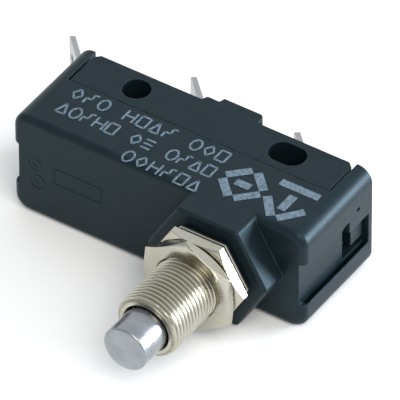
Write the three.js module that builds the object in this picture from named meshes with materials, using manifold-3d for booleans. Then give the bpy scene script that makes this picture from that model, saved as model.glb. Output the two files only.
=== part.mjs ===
// Panel-mounted plunger limit switch: a moulded two-part case with a snap-action
// changeover mechanism inside, a threaded metal bushing with two lock nuts and a
// sprung plunger in front, and three angled push-on tabs at the rear.
//
// Millimetres, +Z up. X runs along the case, the plunger points to -Y, the tabs to +Y.
// The switch lies on one side face. The origin is the centre of that face.

import * as THREE from 'three';
import { mergeVertices } from 'three/addons/utils/BufferGeometryUtils.js';
import Module from 'manifold-3d';

const wasm = await Module();
wasm.setup();

// ---------------------------------------------------------------- driving sizes

const GAP = 0.3; // between parts that touch or are cut to each other
const PAST = 1; // how far a cutting tool reaches past a face
const ROUND_SEGMENTS = 36; // sides of a turned part
const ARC_SEGMENTS = 5; // steps in a rounded corner
const HOLE_ARC_SEGMENTS = 12; // steps in half a mounting hole
const TAB_HOLE_SEGMENTS = 8; // steps in a tab's hole
const RING_SEGMENTS = 24; // steps round the retaining ring
const WIRE_SEGMENTS = 6; // steps round the spring's wire

// Case
const CASE_LENGTH = 49.2;
const CASE_DEPTH = 17.4;
const CASE_THICKNESS = 17.45;
const LONG_EDGE_ROUND = 2.4; // edges that run from front to rear
const FRONT_EDGE_ROUND = 1.1; // edges round the front face
const END_WALL = 2.6;
const FRONT_WALL = 2.2;
const SIDE_WALL = 2.0;
const JOINT_SETBACK = 10.3; // front face to the line where cover and block meet
const BLOCK_REAR_INSET = 0.35; // the block stops short of the cover's rear ends
const BLOCK_CORNER_CHAMFER = 0.8;

// Mounting holes through the sides
const HOLE_PITCH = 25.4;
const HOLE_DIAMETER = 4.2;
const SLOT_LENGTH = 5.8;
const HOLE_SETBACK = 13.78; // front face to the hole centres

// Moulded step on the block's rear face, beside the middle tab
const STEP_START = -4.1;
const STEP_MIDDLE = -1.3;
const STEP_END = 5.5;
const STEP_LOW = 1.1;
const STEP_HIGH = 2.0;
const STEP_ROUND = 0.8;
const STEP_INSET = 0.2;

// Recesses, windows and latches in the end walls
const RECESS_DEPTH = 1.0;
const RECESS_LOW = 4.6;
const RECESS_HIGH = 12.0;
const WINDOW_START = 11.2; // from the front face
const WINDOW_LENGTH = 5.3;
const WINDOW_HIGH = 10.0;
const LATCH_LENGTH = 3.0;
const LATCH_LOW = 6.0;
const LATCH_HEIGHT = 3.4;
const LATCH_REACH = 1.7;

// Plunger axis, boss, bushing and nuts
const AXIS_X = 11.0;
const BOSS_DEPTH = 4.3;
const BOSS_CORNER_ROUND = 0.9;
const BOSS_BEVEL = 0.5;
const THREAD_DIAMETER = 10.0;
const THREAD_PITCH = 0.75;
const THREAD_HEIGHT = 0.46;
const BUSHING_LENGTH = 15.2; // boss front to the rim
const PLUNGER_CLEARANCE = 0.35; // round the plunger in the bushing
const BUSHING_RELIEF_DIAMETER = 9.0;
const RIM_CHAMFER = 0.5;
const CREST_WIDTH = 0.15; // flat top of each ring of the thread
const THREAD_START = 0.1; // the relief begins this far in front of the collar
const COLLAR_OVERLAP = 0.1; // how deep the collar is sunk in the relief
const COLLAR_ACROSS_FLATS = 13.0;
const COLLAR_THICKNESS = 0.6;
const BODY_DIAMETER = 11.0; // the bushing's rear body, inside the boss
const BODY_DEPTH = 5.9; // boss front to the end of that body
const RING_CLEARANCE = 0.4; // round the retaining ring in the bushing
const COUNTERBORE_START = 1.0; // in front of the boss's front face
const NUT_ACROSS_FLATS = 14.0;
const NUT_THICKNESS = 1.7;
const NUT_BORE_CLEARANCE = 0.1;
const NUT_CORNER_ROUND = 0.1; // the chamfer's cylinder stands this far outside the corners
const REAR_NUT_SETBACK = 1.7; // boss front to the rear nut's rear face
const NUT_SPACING = 0.2;
const FRONT_NUT_TURN = -1.3; // degrees, how the front nut happens to stand

// Plunger and its spring
const PLUNGER_DIAMETER = 7.0;
const PLUNGER_REACH = 5.2; // rim to the edge of the domed tip
const DOME_HEIGHT = 0.6;
const PLUNGER_TAIL = 0.3; // boss front to the plunger's rear end, at rest
const CUP_CONE = 1.0; // the drill's point at the floor of the cup
const PLUNGER_WALL = 1.0; // round the cup for the spring
const CUP_DEPTH = 9.0;
const RING_THICKNESS = 0.5;
const RING_STAND = 0.8; // how far the ring stands out of its groove
const GROOVE_DEPTH = 0.45;
const GROOVE_PLAY = 0.15; // between the ring and the groove's floor
const GROOVE_MARGIN = 0.1; // between the ring and each side of its groove
const RING_OPENING = 70; // degrees
const SPRING_CLEARANCE = 0.35; // round the spring in the cup
const SPRING_WIRE = 0.5;
const SPRING_TURNS = 9;
const STEPS_PER_TURN = 14;
const SEAT_THICKNESS = 0.8;

// Inner button
const BUTTON_DIAMETER = 3.6;
const BUTTON_FLANGE_DIAMETER = 5.5;
const BUTTON_FLANGE = 0.8;
const BUTTON_STROKE = 0.4;
const BUTTON_TIP_SHARE = 0.6; // flat tip's share of the diameter
const GUIDE_FLOOR = 1.5; // thickness of the wall that guides the button
const GUIDE_BOSS_DIAMETER = 12.0; // round body behind the front wall, with the guide in it

// Snap-action blade
const BLADE_THICKNESS = 0.3;
const BLADE_WIDTH = 8.0;
const BLADE_OVERHANG = 1.6; // past the rivet, and past the moving contact
const BLADE_RAIL = 1.7; // width of the two side rails
const WINDOW_MARGIN = 3.0; // moving contact to the window in the blade
const WINDOW_PAST_LIP = 1.9;
const ANCHOR_MARGIN = 2.2; // right end wall to the rivet
const BOW_WIDTH = 3.8;
const BOW_BULGE = 1.5;
const SUPPORT_WIDTH = 7.0;
const SUPPORT_THICKNESS = 0.8;
const SUPPORT_REACH = 15.8; // rivet to the lip for the bow
const SUPPORT_PAD = 4.4;
const LIP_DROP = 0.4; // the lip stands lower than the pad, clear of the swinging blade
const RIVET_DIAMETER = 2.0;
const RIVET_HEAD_DIAMETER = 3.6;
const RIVET_HEAD = 0.7;
const RIVET_FLAT_SHARE = 0.7; // flat top's share of a rivet head's diameter

// Contacts
const CONTACT_MARGIN = 7.0; // left end wall to the contacts
const NC_FOOT_MARGIN = 0.6; // front wall to the normally closed foot
const CONTACT_DIAMETER = 3.8;
const CONTACT_SHANK_DIAMETER = 1.8;
const CONTACT_FACE = 0.5;
const CONTACT_TRAVEL = 0.9;

// Terminals
const TAB_WIDTH = 6.3;
const TAB_THICKNESS = 0.8;
const TAB_ANGLE = 45; // degrees from +Y towards -X
const TAB_REACH = 11.5; // along the tab, from the face that it leaves
const TAB_TIP_CHAMFER = 1.6;
const TAB_TIP_TAPER = 2.0;
const TAB_BEVEL_LENGTH = 1.5; // both faces slope in over this length at the tip
const TAB_BEVEL_SLOPE = 0.17; // thickness lost on each face, per length
const TAB_HOLE_DIAMETER = 1.7;
const TAB_HOLE_SETBACK = 3.6;
const NC_STRIP_MARGIN = 0.48; // left end wall to the left tab's strip
const NO_STRIP_X = -1.15;
const BEND_SETBACKS = { nc: 14.5, no: 16.0, com: 14.4 }; // front face to each tab's bend
const FOOT_THICKNESS = 0.6;
const FOOT_WIDTH = 5.0;

// ---------------------------------------------------------------- derived places

const LEFT = -CASE_LENGTH / 2;
const RIGHT = CASE_LENGTH / 2;
const FRONT = -CASE_DEPTH / 2;
const REAR = CASE_DEPTH / 2;
const MID_Z = CASE_THICKNESS / 2;
const JOINT_Y = FRONT + JOINT_SETBACK;
const BLOCK_REAR = REAR - BLOCK_REAR_INSET;
const BOSS_FRONT = FRONT - BOSS_DEPTH;
const RIM = BOSS_FRONT - BUSHING_LENGTH;
const BODY_END = BOSS_FRONT + BODY_DEPTH;
const STEP_FACE = BOSS_FRONT - COUNTERBORE_START; // where the counterbore meets the front bore
const COLLAR_REAR = BOSS_FRONT - GAP;
const COLLAR_FRONT = COLLAR_REAR - COLLAR_THICKNESS;
const GUIDE_FRONT = BODY_END + GAP;
const GUIDE_REAR = GUIDE_FRONT + GUIDE_FLOOR;
const PLUNGER_EDGE = RIM - PLUNGER_REACH;
const PLUNGER_END = BOSS_FRONT + PLUNGER_TAIL;
const BUTTON_FLANGE_REAR = GUIDE_FRONT - BUTTON_STROKE - 1.5 * GAP;
const BUTTON_FLANGE_FRONT = BUTTON_FLANGE_REAR - BUTTON_FLANGE;
const SEAT_REAR = BUTTON_FLANGE_FRONT - GAP;
const SEAT_FRONT = SEAT_REAR - SEAT_THICKNESS;
const CUP_FLOOR = PLUNGER_END - CUP_DEPTH;
const BUSHING_BORE = PLUNGER_DIAMETER + 2 * PLUNGER_CLEARANCE;
const RING_OUTER_DIAMETER = PLUNGER_DIAMETER + 2 * RING_STAND;
const RING_INNER_DIAMETER = PLUNGER_DIAMETER - 2 * (GROOVE_DEPTH - GROOVE_PLAY);
const COUNTERBORE_DIAMETER = RING_OUTER_DIAMETER + 2 * RING_CLEARANCE;
const CUP_BORE = PLUNGER_DIAMETER - 2 * PLUNGER_WALL;
const SPRING_DIAMETER = CUP_BORE - 2 * SPRING_CLEARANCE;
const SEAT_DIAMETER = CUP_BORE - 2 * GAP;
const CONTACT_X = LEFT + END_WALL + CONTACT_MARGIN;
const ANCHOR_X = RIGHT - END_WALL - ANCHOR_MARGIN;
const SUPPORT_LIP_X = ANCHOR_X - SUPPORT_REACH;
const NC_FOOT_FRONT = FRONT + FRONT_WALL + NC_FOOT_MARGIN;
const NC_FACE = NC_FOOT_FRONT + FOOT_THICKNESS + GAP + CONTACT_FACE;
const MOVING_FRONT = NC_FACE + GAP;
const BLADE_Y = MOVING_FRONT + CONTACT_FACE + GAP;
const BLADE_REAR = BLADE_Y + BLADE_THICKNESS;
const MOVING_REAR = BLADE_REAR + GAP + CONTACT_FACE;
const NO_FACE = MOVING_REAR + CONTACT_TRAVEL + GAP / 2;
const NO_FOOT_FRONT = NO_FACE + CONTACT_FACE + GAP;
const NO_FOOT_REAR = NO_FOOT_FRONT + FOOT_THICKNESS;
const SPIGOT_FRONT = NO_FOOT_REAR + GAP;
const STRIP_X = {
  nc: LEFT + END_WALL + NC_STRIP_MARGIN + TAB_THICKNESS / 2,
  no: NO_STRIP_X,
  com: ANCHOR_X - RIVET_HEAD_DIAMETER / 2 - GAP - TAB_THICKNESS / 2,
};
const SUPPORT_FRONT = BLADE_REAR + GAP;
const SUPPORT_REAR = NO_FOOT_FRONT - GAP;

// ---------------------------------------------------------------- solids

/** A closed geometry as a solid, with shared vertices merged and its faces turned out. */
function solidOf(geometry) {
  const bare = geometry.clone();
  bare.deleteAttribute('normal');
  bare.deleteAttribute('uv');
  const merged = mergeVertices(bare, 1e-5);
  const p = merged.attributes.position;
  const all = merged.index.array;
  const kept = [];
  let volume = 0;
  const [a, b, c] = [new THREE.Vector3(), new THREE.Vector3(), new THREE.Vector3()];
  for (let i = 0; i < all.length; i += 3) {
    const [ia, ib, ic] = [all[i], all[i + 1], all[i + 2]];
    if (ia === ib || ib === ic || ic === ia) continue;
    kept.push(ia, ib, ic);
    a.fromBufferAttribute(p, ia);
    b.fromBufferAttribute(p, ib);
    c.fromBufferAttribute(p, ic);
    volume += a.dot(b.cross(c));
  }
  if (volume < 0) {
    for (let i = 0; i < kept.length; i += 3) [kept[i], kept[i + 1]] = [kept[i + 1], kept[i]];
  }
  const vertProperties = new Float32Array(p.array);
  const triVerts = new Uint32Array(kept);
  return new wasm.Manifold(new wasm.Mesh({ numProp: 3, vertProperties, triVerts }));
}

/** A solid's surface as a geometry with flat faces. */
function geometryOf(solid) {
  const mesh = solid.getMesh();
  const geometry = new THREE.BufferGeometry();
  geometry.setAttribute('position', new THREE.BufferAttribute(new Float32Array(mesh.vertProperties), 3));
  geometry.setIndex(new THREE.BufferAttribute(new Uint32Array(mesh.triVerts), 1));
  geometry.computeVertexNormals();
  return geometry;
}

/** Joins the first solid with the others. */
const join = (first, ...others) => others.reduce((sum, s) => sum.add(s), first);

/** Cuts the others from the first solid. */
const cut = (first, ...others) => others.reduce((rest, s) => rest.subtract(s), first);

/** A box between two corners. */
function box(low, high) {
  const size = high.map((v, i) => v - low[i]);
  const geometry = new THREE.BoxGeometry(...size);
  geometry.translate(...low.map((v, i) => v + size[i] / 2));
  return solidOf(geometry);
}

/** Extrudes an outline along X, Y or Z between two places. The outline holds the other two axes in order. */
function extrude(outline, axis, from, to, { bevel = 0, steps = ARC_SEGMENTS } = {}) {
  const geometry = new THREE.ExtrudeGeometry(outline, {
    depth: to - from - 2 * bevel,
    curveSegments: steps,
    bevelEnabled: bevel > 0,
    bevelThickness: bevel,
    bevelSize: bevel,
    bevelOffset: -bevel,
    bevelSegments: 2,
  });
  geometry.translate(0, 0, bevel);
  const [x, y, z] = [new THREE.Vector3(1, 0, 0), new THREE.Vector3(0, 1, 0), new THREE.Vector3(0, 0, 1)];
  const turn = new THREE.Matrix4();
  if (axis === 'x') turn.makeBasis(y, z, x).setPosition(from, 0, 0);
  if (axis === 'y') turn.makeBasis(x, z, y.clone().negate()).setPosition(0, to, 0);
  if (axis === 'z') turn.makeBasis(x, y, z).setPosition(0, 0, from);
  return solidOf(geometry.applyMatrix4(turn));
}

/** A turned body on an axis along Y. The profile lists [radius, y] and closes on itself or on the axis. */
function turned(profile, x = AXIS_X, z = MID_Z) {
  const points = profile.map(([r, y]) => new THREE.Vector2(r, y));
  if (points[0].x > 0) points.push(points[0].clone());
  return solidOf(new THREE.LatheGeometry(points, ROUND_SEGMENTS).translate(x, 0, z));
}

/** A plain cylinder along Y whose flats clear the given radius. */
function bore(radius, from, to, x = AXIS_X, z = MID_Z) {
  const outer = radius / Math.cos(Math.PI / ROUND_SEGMENTS);
  return turned([[0, from], [outer, from], [outer, to], [0, to]], x, z);
}

/** A rectangle with a round at each corner, centred on (x, y). */
function roundedRectangle(x, y, width, height, radius) {
  const [w, h] = [width / 2 - radius, height / 2 - radius];
  const shape = new THREE.Shape();
  shape.absarc(x + w, y + h, radius, 0, Math.PI / 2);
  shape.absarc(x - w, y + h, radius, Math.PI / 2, Math.PI);
  shape.absarc(x - w, y - h, radius, Math.PI, 1.5 * Math.PI);
  shape.absarc(x + w, y - h, radius, 1.5 * Math.PI, 2 * Math.PI);
  shape.closePath();
  return shape;
}

/** A closed outline through the given points. */
const polygon = (...points) => new THREE.Shape(points.map(([x, y]) => new THREE.Vector2(x, y)));

/** A hexagon with rounded corners and level flats at top and bottom, centred on (x, y). */
function roundedHexagon(x, y, acrossFlats, radius) {
  const reach = (acrossFlats / 2 - radius) / Math.cos(Math.PI / 6);
  const shape = new THREE.Shape();
  for (let k = 0; k < 6; k++) {
    const angle = (k * Math.PI) / 3;
    const [cx, cy] = [x + reach * Math.cos(angle), y + reach * Math.sin(angle)];
    shape.absarc(cx, cy, radius, angle - Math.PI / 6, angle + Math.PI / 6);
  }
  shape.closePath();
  return shape;
}

/** A hexagonal prism along Y with sharp corners, turned by some degrees from level flats. */
function hexagon(acrossFlats, from, to, degrees = 0) {
  const radius = acrossFlats / 2 / Math.cos(Math.PI / 6);
  const geometry = new THREE.CylinderGeometry(radius, radius, to - from, 6);
  geometry.rotateY(Math.PI / 6 + THREE.MathUtils.degToRad(degrees));
  geometry.translate(AXIS_X, (from + to) / 2, MID_Z);
  return solidOf(geometry);
}

// ---------------------------------------------------------------- terminals

/** The two corner points of a tab's path: where it bends and where it ends, for one tab. */
function tabPath(name) {
  const angle = THREE.MathUtils.degToRad(TAB_ANGLE);
  const bendX = STRIP_X[name];
  const bendY = FRONT + BEND_SETBACKS[name];
  const leaves = name === 'no' ? BLOCK_REAR + STEP_HIGH : BLOCK_REAR;
  const length = (leaves - bendY) / Math.cos(angle) + TAB_REACH;
  return { bendX, bendY, length, angle };
}

/** The angled leg of a tab, grown by a clearance. Bare, it has a tapered, bevelled tip and a detent hole. */
function tabLeg(name, clearance = 0) {
  const { bendX, bendY, length, angle } = tabPath(name);
  const half = TAB_WIDTH / 2 + clearance;
  const tip = half - TAB_TIP_CHAMFER;
  const outline = polygon([0, -half], [length - TAB_TIP_TAPER, -half], [length, -tip],
    [length, tip], [length - TAB_TIP_TAPER, half], [0, half]);
  if (clearance === 0) {
    const hole = new THREE.Path();
    hole.absarc(length - TAB_HOLE_SETBACK, 0, TAB_HOLE_DIAMETER / 2, 0, 2 * Math.PI, true);
    outline.holes.push(hole);
  }
  const thickness = TAB_THICKNESS + 2 * clearance;
  const solid = { depth: thickness, curveSegments: TAB_HOLE_SEGMENTS, bevelEnabled: false };
  const geometry = new THREE.ExtrudeGeometry(outline, solid);
  geometry.translate(0, 0, -thickness / 2);
  const along = new THREE.Vector3(-Math.sin(angle), Math.cos(angle), 0);
  const up = new THREE.Vector3(0, 0, 1);
  const across = along.clone().cross(up);
  const turn = new THREE.Matrix4().makeBasis(along, up, across).setPosition(bendX, bendY, MID_Z);
  const leg = solidOf(geometry.applyMatrix4(turn));
  if (clearance > 0) return leg;
  const lay = new THREE.Matrix4().makeBasis(along, across, up.clone().negate());
  lay.setPosition(bendX, bendY, MID_Z);
  return [-1, 1].reduce((rest, side) => {
    const at = (x) => side * (TAB_THICKNESS / 2 - (x - length + TAB_BEVEL_LENGTH) * TAB_BEVEL_SLOPE);
    const [start, end] = [length - TAB_BEVEL_LENGTH - PAST, length + PAST];
    const far = side * TAB_WIDTH;
    const sliver = polygon([start, at(start)], [end, at(end)], [end, far], [start, far]);
    const chip = new THREE.ExtrudeGeometry(sliver, { depth: 2 * TAB_WIDTH, bevelEnabled: false });
    return rest.subtract(solidOf(chip.translate(0, 0, -TAB_WIDTH).applyMatrix4(lay)));
  }, leg);
}

/** The strip of a tab that runs straight through the block, from a front place to the bend. */
function tabStrip(name, front, clearance = 0) {
  const { bendX, bendY, angle } = tabPath(name);
  const half = TAB_THICKNESS / 2 + clearance;
  const corner = half * Math.tan(angle / 2);
  const outline = polygon([bendX - half, front], [bendX + half, front],
    [bendX + half, bendY + corner], [bendX, bendY + half], [bendX - half, bendY - corner]);
  return extrude(outline, 'z', MID_Z - TAB_WIDTH / 2 - clearance, MID_Z + TAB_WIDTH / 2 + clearance);
}

/** A whole tab, grown by a clearance. */
const tab = (name, front, clearance = 0) => join(tabStrip(name, front, clearance), tabLeg(name, clearance));

/** A flat foot across the cavity, between two places along X. */
function foot(x0, x1, front) {
  const half = FOOT_WIDTH / 2;
  return box([x0, front, MID_Z - half], [x1, front + FOOT_THICKNESS, MID_Z + half]);
}

/** Left tab: normally closed. Its foot reaches in front of the moving contact. */
function ncTerminal() {
  const strip = cut(tab('nc', NC_FOOT_FRONT), sideTrim('nc', NC_FOOT_FRONT));
  const plate = foot(STRIP_X.nc, CONTACT_X + CONTACT_DIAMETER / 2, NC_FOOT_FRONT);
  const hole = bore(CONTACT_SHANK_DIAMETER / 2 + GAP, NC_FOOT_FRONT - PAST, NC_FACE, CONTACT_X);
  return cut(join(strip, plate), hole);
}

/** Middle tab: normally open. Its foot reaches behind the moving contact. */
function noTerminal() {
  const plate = foot(CONTACT_X - CONTACT_DIAMETER / 2, STRIP_X.no, NO_FOOT_FRONT);
  const hole = bore(CONTACT_SHANK_DIAMETER / 2 + GAP, NO_FOOT_FRONT - PAST, NO_FOOT_REAR + PAST, CONTACT_X);
  return cut(join(tab('no', NO_FOOT_FRONT), plate), hole);
}

/** Right tab: common. Its foot carries the blade's support. */
function comTerminal() {
  const plate = foot(STRIP_X.com, ANCHOR_X + BLADE_OVERHANG, NO_FOOT_FRONT);
  const hole = bore(RIVET_DIAMETER / 2 + GAP, NO_FOOT_FRONT - PAST, NO_FOOT_REAR + PAST, ANCHOR_X);
  return cut(join(tab('com', NO_FOOT_FRONT), plate), hole);
}

/** What narrows a strip to the foot's width inside the cavity. */
function sideTrim(name, front) {
  const { bendX } = tabPath(name);
  const half = FOOT_WIDTH / 2;
  const [x0, x1] = [bendX - TAB_THICKNESS, bendX + TAB_THICKNESS];
  const end = SPIGOT_FRONT - GAP;
  return join(box([x0, front - PAST, 0], [x1, end, MID_Z - half]),
    box([x0, front - PAST, MID_Z + half], [x1, end, CASE_THICKNESS]));
}

// ---------------------------------------------------------------- case

/** The case's outer form: rounded along its length and round the front face. */
function caseForm() {
  const section = roundedRectangle(0, MID_Z, CASE_LENGTH, CASE_THICKNESS, LONG_EDGE_ROUND);
  const long = extrude(section, 'y', FRONT, REAR);
  const r = FRONT_EDGE_ROUND;
  const top = new THREE.Shape();
  top.moveTo(REAR + PAST, 0);
  top.lineTo(REAR + PAST, CASE_THICKNESS);
  top.absarc(FRONT + r, CASE_THICKNESS - r, r, Math.PI / 2, Math.PI);
  top.absarc(FRONT + r, r, r, Math.PI, 1.5 * Math.PI);
  const plan = new THREE.Shape();
  plan.moveTo(RIGHT, REAR + PAST);
  plan.lineTo(LEFT, REAR + PAST);
  plan.absarc(LEFT + r, FRONT + r, r, Math.PI, 1.5 * Math.PI);
  plan.absarc(RIGHT - r, FRONT + r, r, 1.5 * Math.PI, 2 * Math.PI);
  return long.intersect(extrude(top, 'x', LEFT - PAST, RIGHT + PAST))
    .intersect(extrude(plan, 'z', -PAST, CASE_THICKNESS + PAST));
}

/** The recess that runs back from the front along one end wall. */
function endRecess(side) {
  const face = side * (RIGHT - RECESS_DEPTH);
  const outside = side * (RIGHT + PAST);
  const [x0, x1] = [Math.min(face, outside), Math.max(face, outside)];
  return box([x0, FRONT - PAST, RECESS_LOW], [x1, FRONT + WINDOW_START + GAP, RECESS_HIGH]);
}

/** The window in the right end wall for the block's latch. */
function latchWindow() {
  const start = FRONT + WINDOW_START;
  const end = start + WINDOW_LENGTH;
  return box([RIGHT - END_WALL - PAST, start, RECESS_LOW], [RIGHT + PAST, end, WINDOW_HIGH]);
}

/** The opening at the rear of the left end wall, for the left tab. */
function tabOpening() {
  const half = TAB_WIDTH / 2 + 2 * GAP;
  const start = tabPath('nc').bendY - TAB_THICKNESS - GAP;
  return box([LEFT - PAST, start, MID_Z - half], [LEFT + END_WALL + PAST, REAR + PAST, MID_Z + half]);
}

/** Front part of the case: front wall, hexagonal boss, side plates and both end walls. */
function cover() {
  const boss = extrude(roundedHexagon(AXIS_X, MID_Z, CASE_THICKNESS, BOSS_CORNER_ROUND), 'y',
    BOSS_FRONT, FRONT + FRONT_WALL, { bevel: BOSS_BEVEL });
  const inner = [RIGHT - END_WALL, CASE_THICKNESS - SIDE_WALL];
  const cavity = box([-inner[0], FRONT + FRONT_WALL, SIDE_WALL], [inner[0], REAR + PAST, inner[1]]);
  const opening = box([-inner[0], JOINT_Y, -PAST], [inner[0], REAR + PAST, CASE_THICKNESS + PAST]);
  const guide = bore(GUIDE_BOSS_DIAMETER / 2, FRONT + FRONT_WALL / 2, GUIDE_REAR);
  const shell = join(cut(join(caseForm(), boss), cavity, opening), guide);
  return cut(shell,
    bore(BODY_DIAMETER / 2 + GAP, BOSS_FRONT - PAST, GUIDE_FRONT),
    bore(BUTTON_DIAMETER / 2 + GAP, GUIDE_FRONT - PAST, GUIDE_REAR + PAST),
    endRecess(-1), endRecess(1), latchWindow(), tabOpening());
}

/** The moulded step on the block's rear face, seen from the side face. */
function rearStep() {
  const [low, high, r] = [BLOCK_REAR + STEP_LOW, BLOCK_REAR + STEP_HIGH, STEP_ROUND];
  const step = new THREE.Shape();
  step.moveTo(STEP_START, BLOCK_REAR - PAST);
  step.lineTo(STEP_START, BLOCK_REAR);
  step.lineTo(STEP_START + STEP_LOW / 2, low);
  step.lineTo(STEP_MIDDLE - STEP_LOW / 4, low);
  step.lineTo(STEP_MIDDLE, high);
  step.absarc(STEP_END - r, high - r, r, Math.PI / 2, 0, true);
  step.lineTo(STEP_END, BLOCK_REAR - PAST);
  return extrude(step, 'z', STEP_INSET, CASE_THICKNESS - STEP_INSET);
}

/** A mounting hole through the block, round or drawn out along X. */
function mountingHole(x, length) {
  const r = HOLE_DIAMETER / 2;
  const y = FRONT + HOLE_SETBACK;
  const half = Math.max(length / 2 - r, 0);
  const outline = new THREE.Shape();
  outline.absarc(x + half, y, r, -Math.PI / 2, Math.PI / 2);
  outline.absarc(x - half, y, r, Math.PI / 2, 1.5 * Math.PI);
  outline.closePath();
  return extrude(outline, 'z', -PAST, CASE_THICKNESS + PAST, { steps: HOLE_ARC_SEGMENTS });
}

/** The latch that holds the block in the right end wall's window. */
function latch() {
  const wall = RIGHT - END_WALL;
  const end = FRONT + WINDOW_START + WINDOW_LENGTH - GAP;
  const top = LATCH_LOW + LATCH_HEIGHT;
  return box([wall - 2 * GAP, end - LATCH_LENGTH, LATCH_LOW], [wall + LATCH_REACH, end, top]);
}

/** Rear part of the case: it carries the terminals and the two mounting holes. */
function terminalBlock() {
  const half = RIGHT - END_WALL - GAP;
  const c = BLOCK_CORNER_CHAMFER;
  const front = JOINT_Y + GAP;
  const outline = polygon([-half, front], [half, front], [half, BLOCK_REAR - c], [half - c, BLOCK_REAR],
    [-half + c, BLOCK_REAR], [-half, BLOCK_REAR - c]);
  const body = extrude(outline, 'z', 0, CASE_THICKNESS);
  const inset = SIDE_WALL + GAP;
  const spigot = box([-half, SPIGOT_FRONT, inset], [half, front + PAST, CASE_THICKNESS - inset]);
  const tabs = Object.keys(STRIP_X).map((name) => tab(name, SPIGOT_FRONT - PAST, GAP));
  const rivetPocket = bore(RIVET_HEAD_DIAMETER / 2 + GAP, SPIGOT_FRONT - PAST,
    SPIGOT_FRONT + RIVET_HEAD + GAP, ANCHOR_X);
  return cut(join(body, spigot, rearStep(), latch()), ...tabs, rivetPocket,
    mountingHole(-HOLE_PITCH / 2, HOLE_DIAMETER), mountingHole(HOLE_PITCH / 2, SLOT_LENGTH));
}

// ---------------------------------------------------------------- bushing, nuts and plunger

/** Threaded bushing: hexagonal collar, thread, stepped bore and a body that sits in the boss. */
function bushing() {
  const crest = THREAD_DIAMETER / 2;
  const root = crest - THREAD_HEIGHT;
  const relief = BUSHING_RELIEF_DIAMETER / 2;
  const first = RIM + RIM_CHAMFER;
  const turns = Math.floor((COLLAR_FRONT - THREAD_PITCH - first) / THREAD_PITCH);
  const profile = [[BUSHING_BORE / 2, RIM], [crest - RIM_CHAMFER, RIM], [root, first]];
  for (let k = 0; k < turns; k++) {
    const y = first + k * THREAD_PITCH;
    const flank = (THREAD_PITCH - CREST_WIDTH) / 2;
    profile.push([crest, y + flank], [crest, y + flank + CREST_WIDTH], [root, y + THREAD_PITCH]);
  }
  const [body, counter] = [BODY_DIAMETER / 2, COUNTERBORE_DIAMETER / 2];
  profile.push([relief, COLLAR_FRONT - THREAD_START], [relief, COLLAR_REAR]);
  profile.push([body, COLLAR_REAR], [body, BODY_END]);
  profile.push([counter, BODY_END], [counter, STEP_FACE], [BUSHING_BORE / 2, STEP_FACE]);
  const collar = cut(hexagon(COLLAR_ACROSS_FLATS, COLLAR_FRONT, COLLAR_REAR),
    bore(relief - COLLAR_OVERLAP, COLLAR_FRONT - PAST, COLLAR_REAR + PAST));
  return join(turned(profile), collar);
}

/** A thin hexagonal lock nut with chamfered corners. Its rear face stands at the given place. */
function nut(rear, degrees) {
  const front = rear - NUT_THICKNESS;
  const flat = NUT_ACROSS_FLATS / 2;
  const corner = flat / Math.cos(Math.PI / 6) + NUT_CORNER_ROUND;
  const slope = (corner - flat) * Math.tan(Math.PI / 6);
  const round = turned([[0, front], [flat, front], [corner, front + slope],
    [corner, rear - slope], [flat, rear], [0, rear]]);
  const hole = bore(THREAD_DIAMETER / 2 + NUT_BORE_CLEARANCE, front - PAST, rear + PAST);
  return cut(hexagon(NUT_ACROSS_FLATS, front, rear, degrees).intersect(round), hole);
}

const REAR_NUT_REAR = BOSS_FRONT - REAR_NUT_SETBACK;
const rearNut = () => nut(REAR_NUT_REAR, 0);
const frontNut = () => nut(REAR_NUT_REAR - NUT_THICKNESS - NUT_SPACING, 30 + FRONT_NUT_TURN);

/** Plunger: a rod with a domed tip, open at the rear for the spring, grooved for the ring. */
function plunger() {
  const r = PLUNGER_DIAMETER / 2;
  const dome = (r * r + DOME_HEIGHT * DOME_HEIGHT) / (2 * DOME_HEIGHT);
  const sweep = Math.asin(r / dome);
  const profile = [];
  for (let k = 0; k <= ARC_SEGMENTS; k++) {
    const angle = (k / ARC_SEGMENTS) * sweep;
    profile.push([dome * Math.sin(angle), PLUNGER_EDGE - DOME_HEIGHT + dome * (1 - Math.cos(angle))]);
  }
  const ringFront = STEP_FACE + GAP - GROOVE_MARGIN;
  const ringRear = ringFront + RING_THICKNESS + 2 * GROOVE_MARGIN;
  const groove = RING_INNER_DIAMETER / 2 - GROOVE_PLAY;
  profile.push([r, ringFront], [groove, ringFront], [groove, ringRear], [r, ringRear], [r, PLUNGER_END]);
  profile.push([CUP_BORE / 2, PLUNGER_END], [CUP_BORE / 2, CUP_FLOOR], [0, CUP_FLOOR - CUP_CONE]);
  return turned(profile);
}

/** Open ring in the plunger's groove. It keeps the plunger in the bushing. */
function retainingRing() {
  const front = STEP_FACE + GAP;
  const ring = new THREE.Shape();
  const half = THREE.MathUtils.degToRad(RING_OPENING / 2);
  ring.absarc(AXIS_X, MID_Z, RING_OUTER_DIAMETER / 2, half - Math.PI / 2, 1.5 * Math.PI - half);
  ring.absarc(AXIS_X, MID_Z, RING_INNER_DIAMETER / 2, 1.5 * Math.PI - half, half - Math.PI / 2, true);
  ring.closePath();
  const solid = { depth: RING_THICKNESS, curveSegments: RING_SEGMENTS, bevelEnabled: false };
  const geometry = new THREE.ExtrudeGeometry(ring, solid);
  return solidOf(geometry.applyMatrix4(new THREE.Matrix4().makeBasis(
    new THREE.Vector3(1, 0, 0), new THREE.Vector3(0, 0, 1), new THREE.Vector3(0, -1, 0),
  ).setPosition(0, front + RING_THICKNESS, 0)));
}

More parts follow.
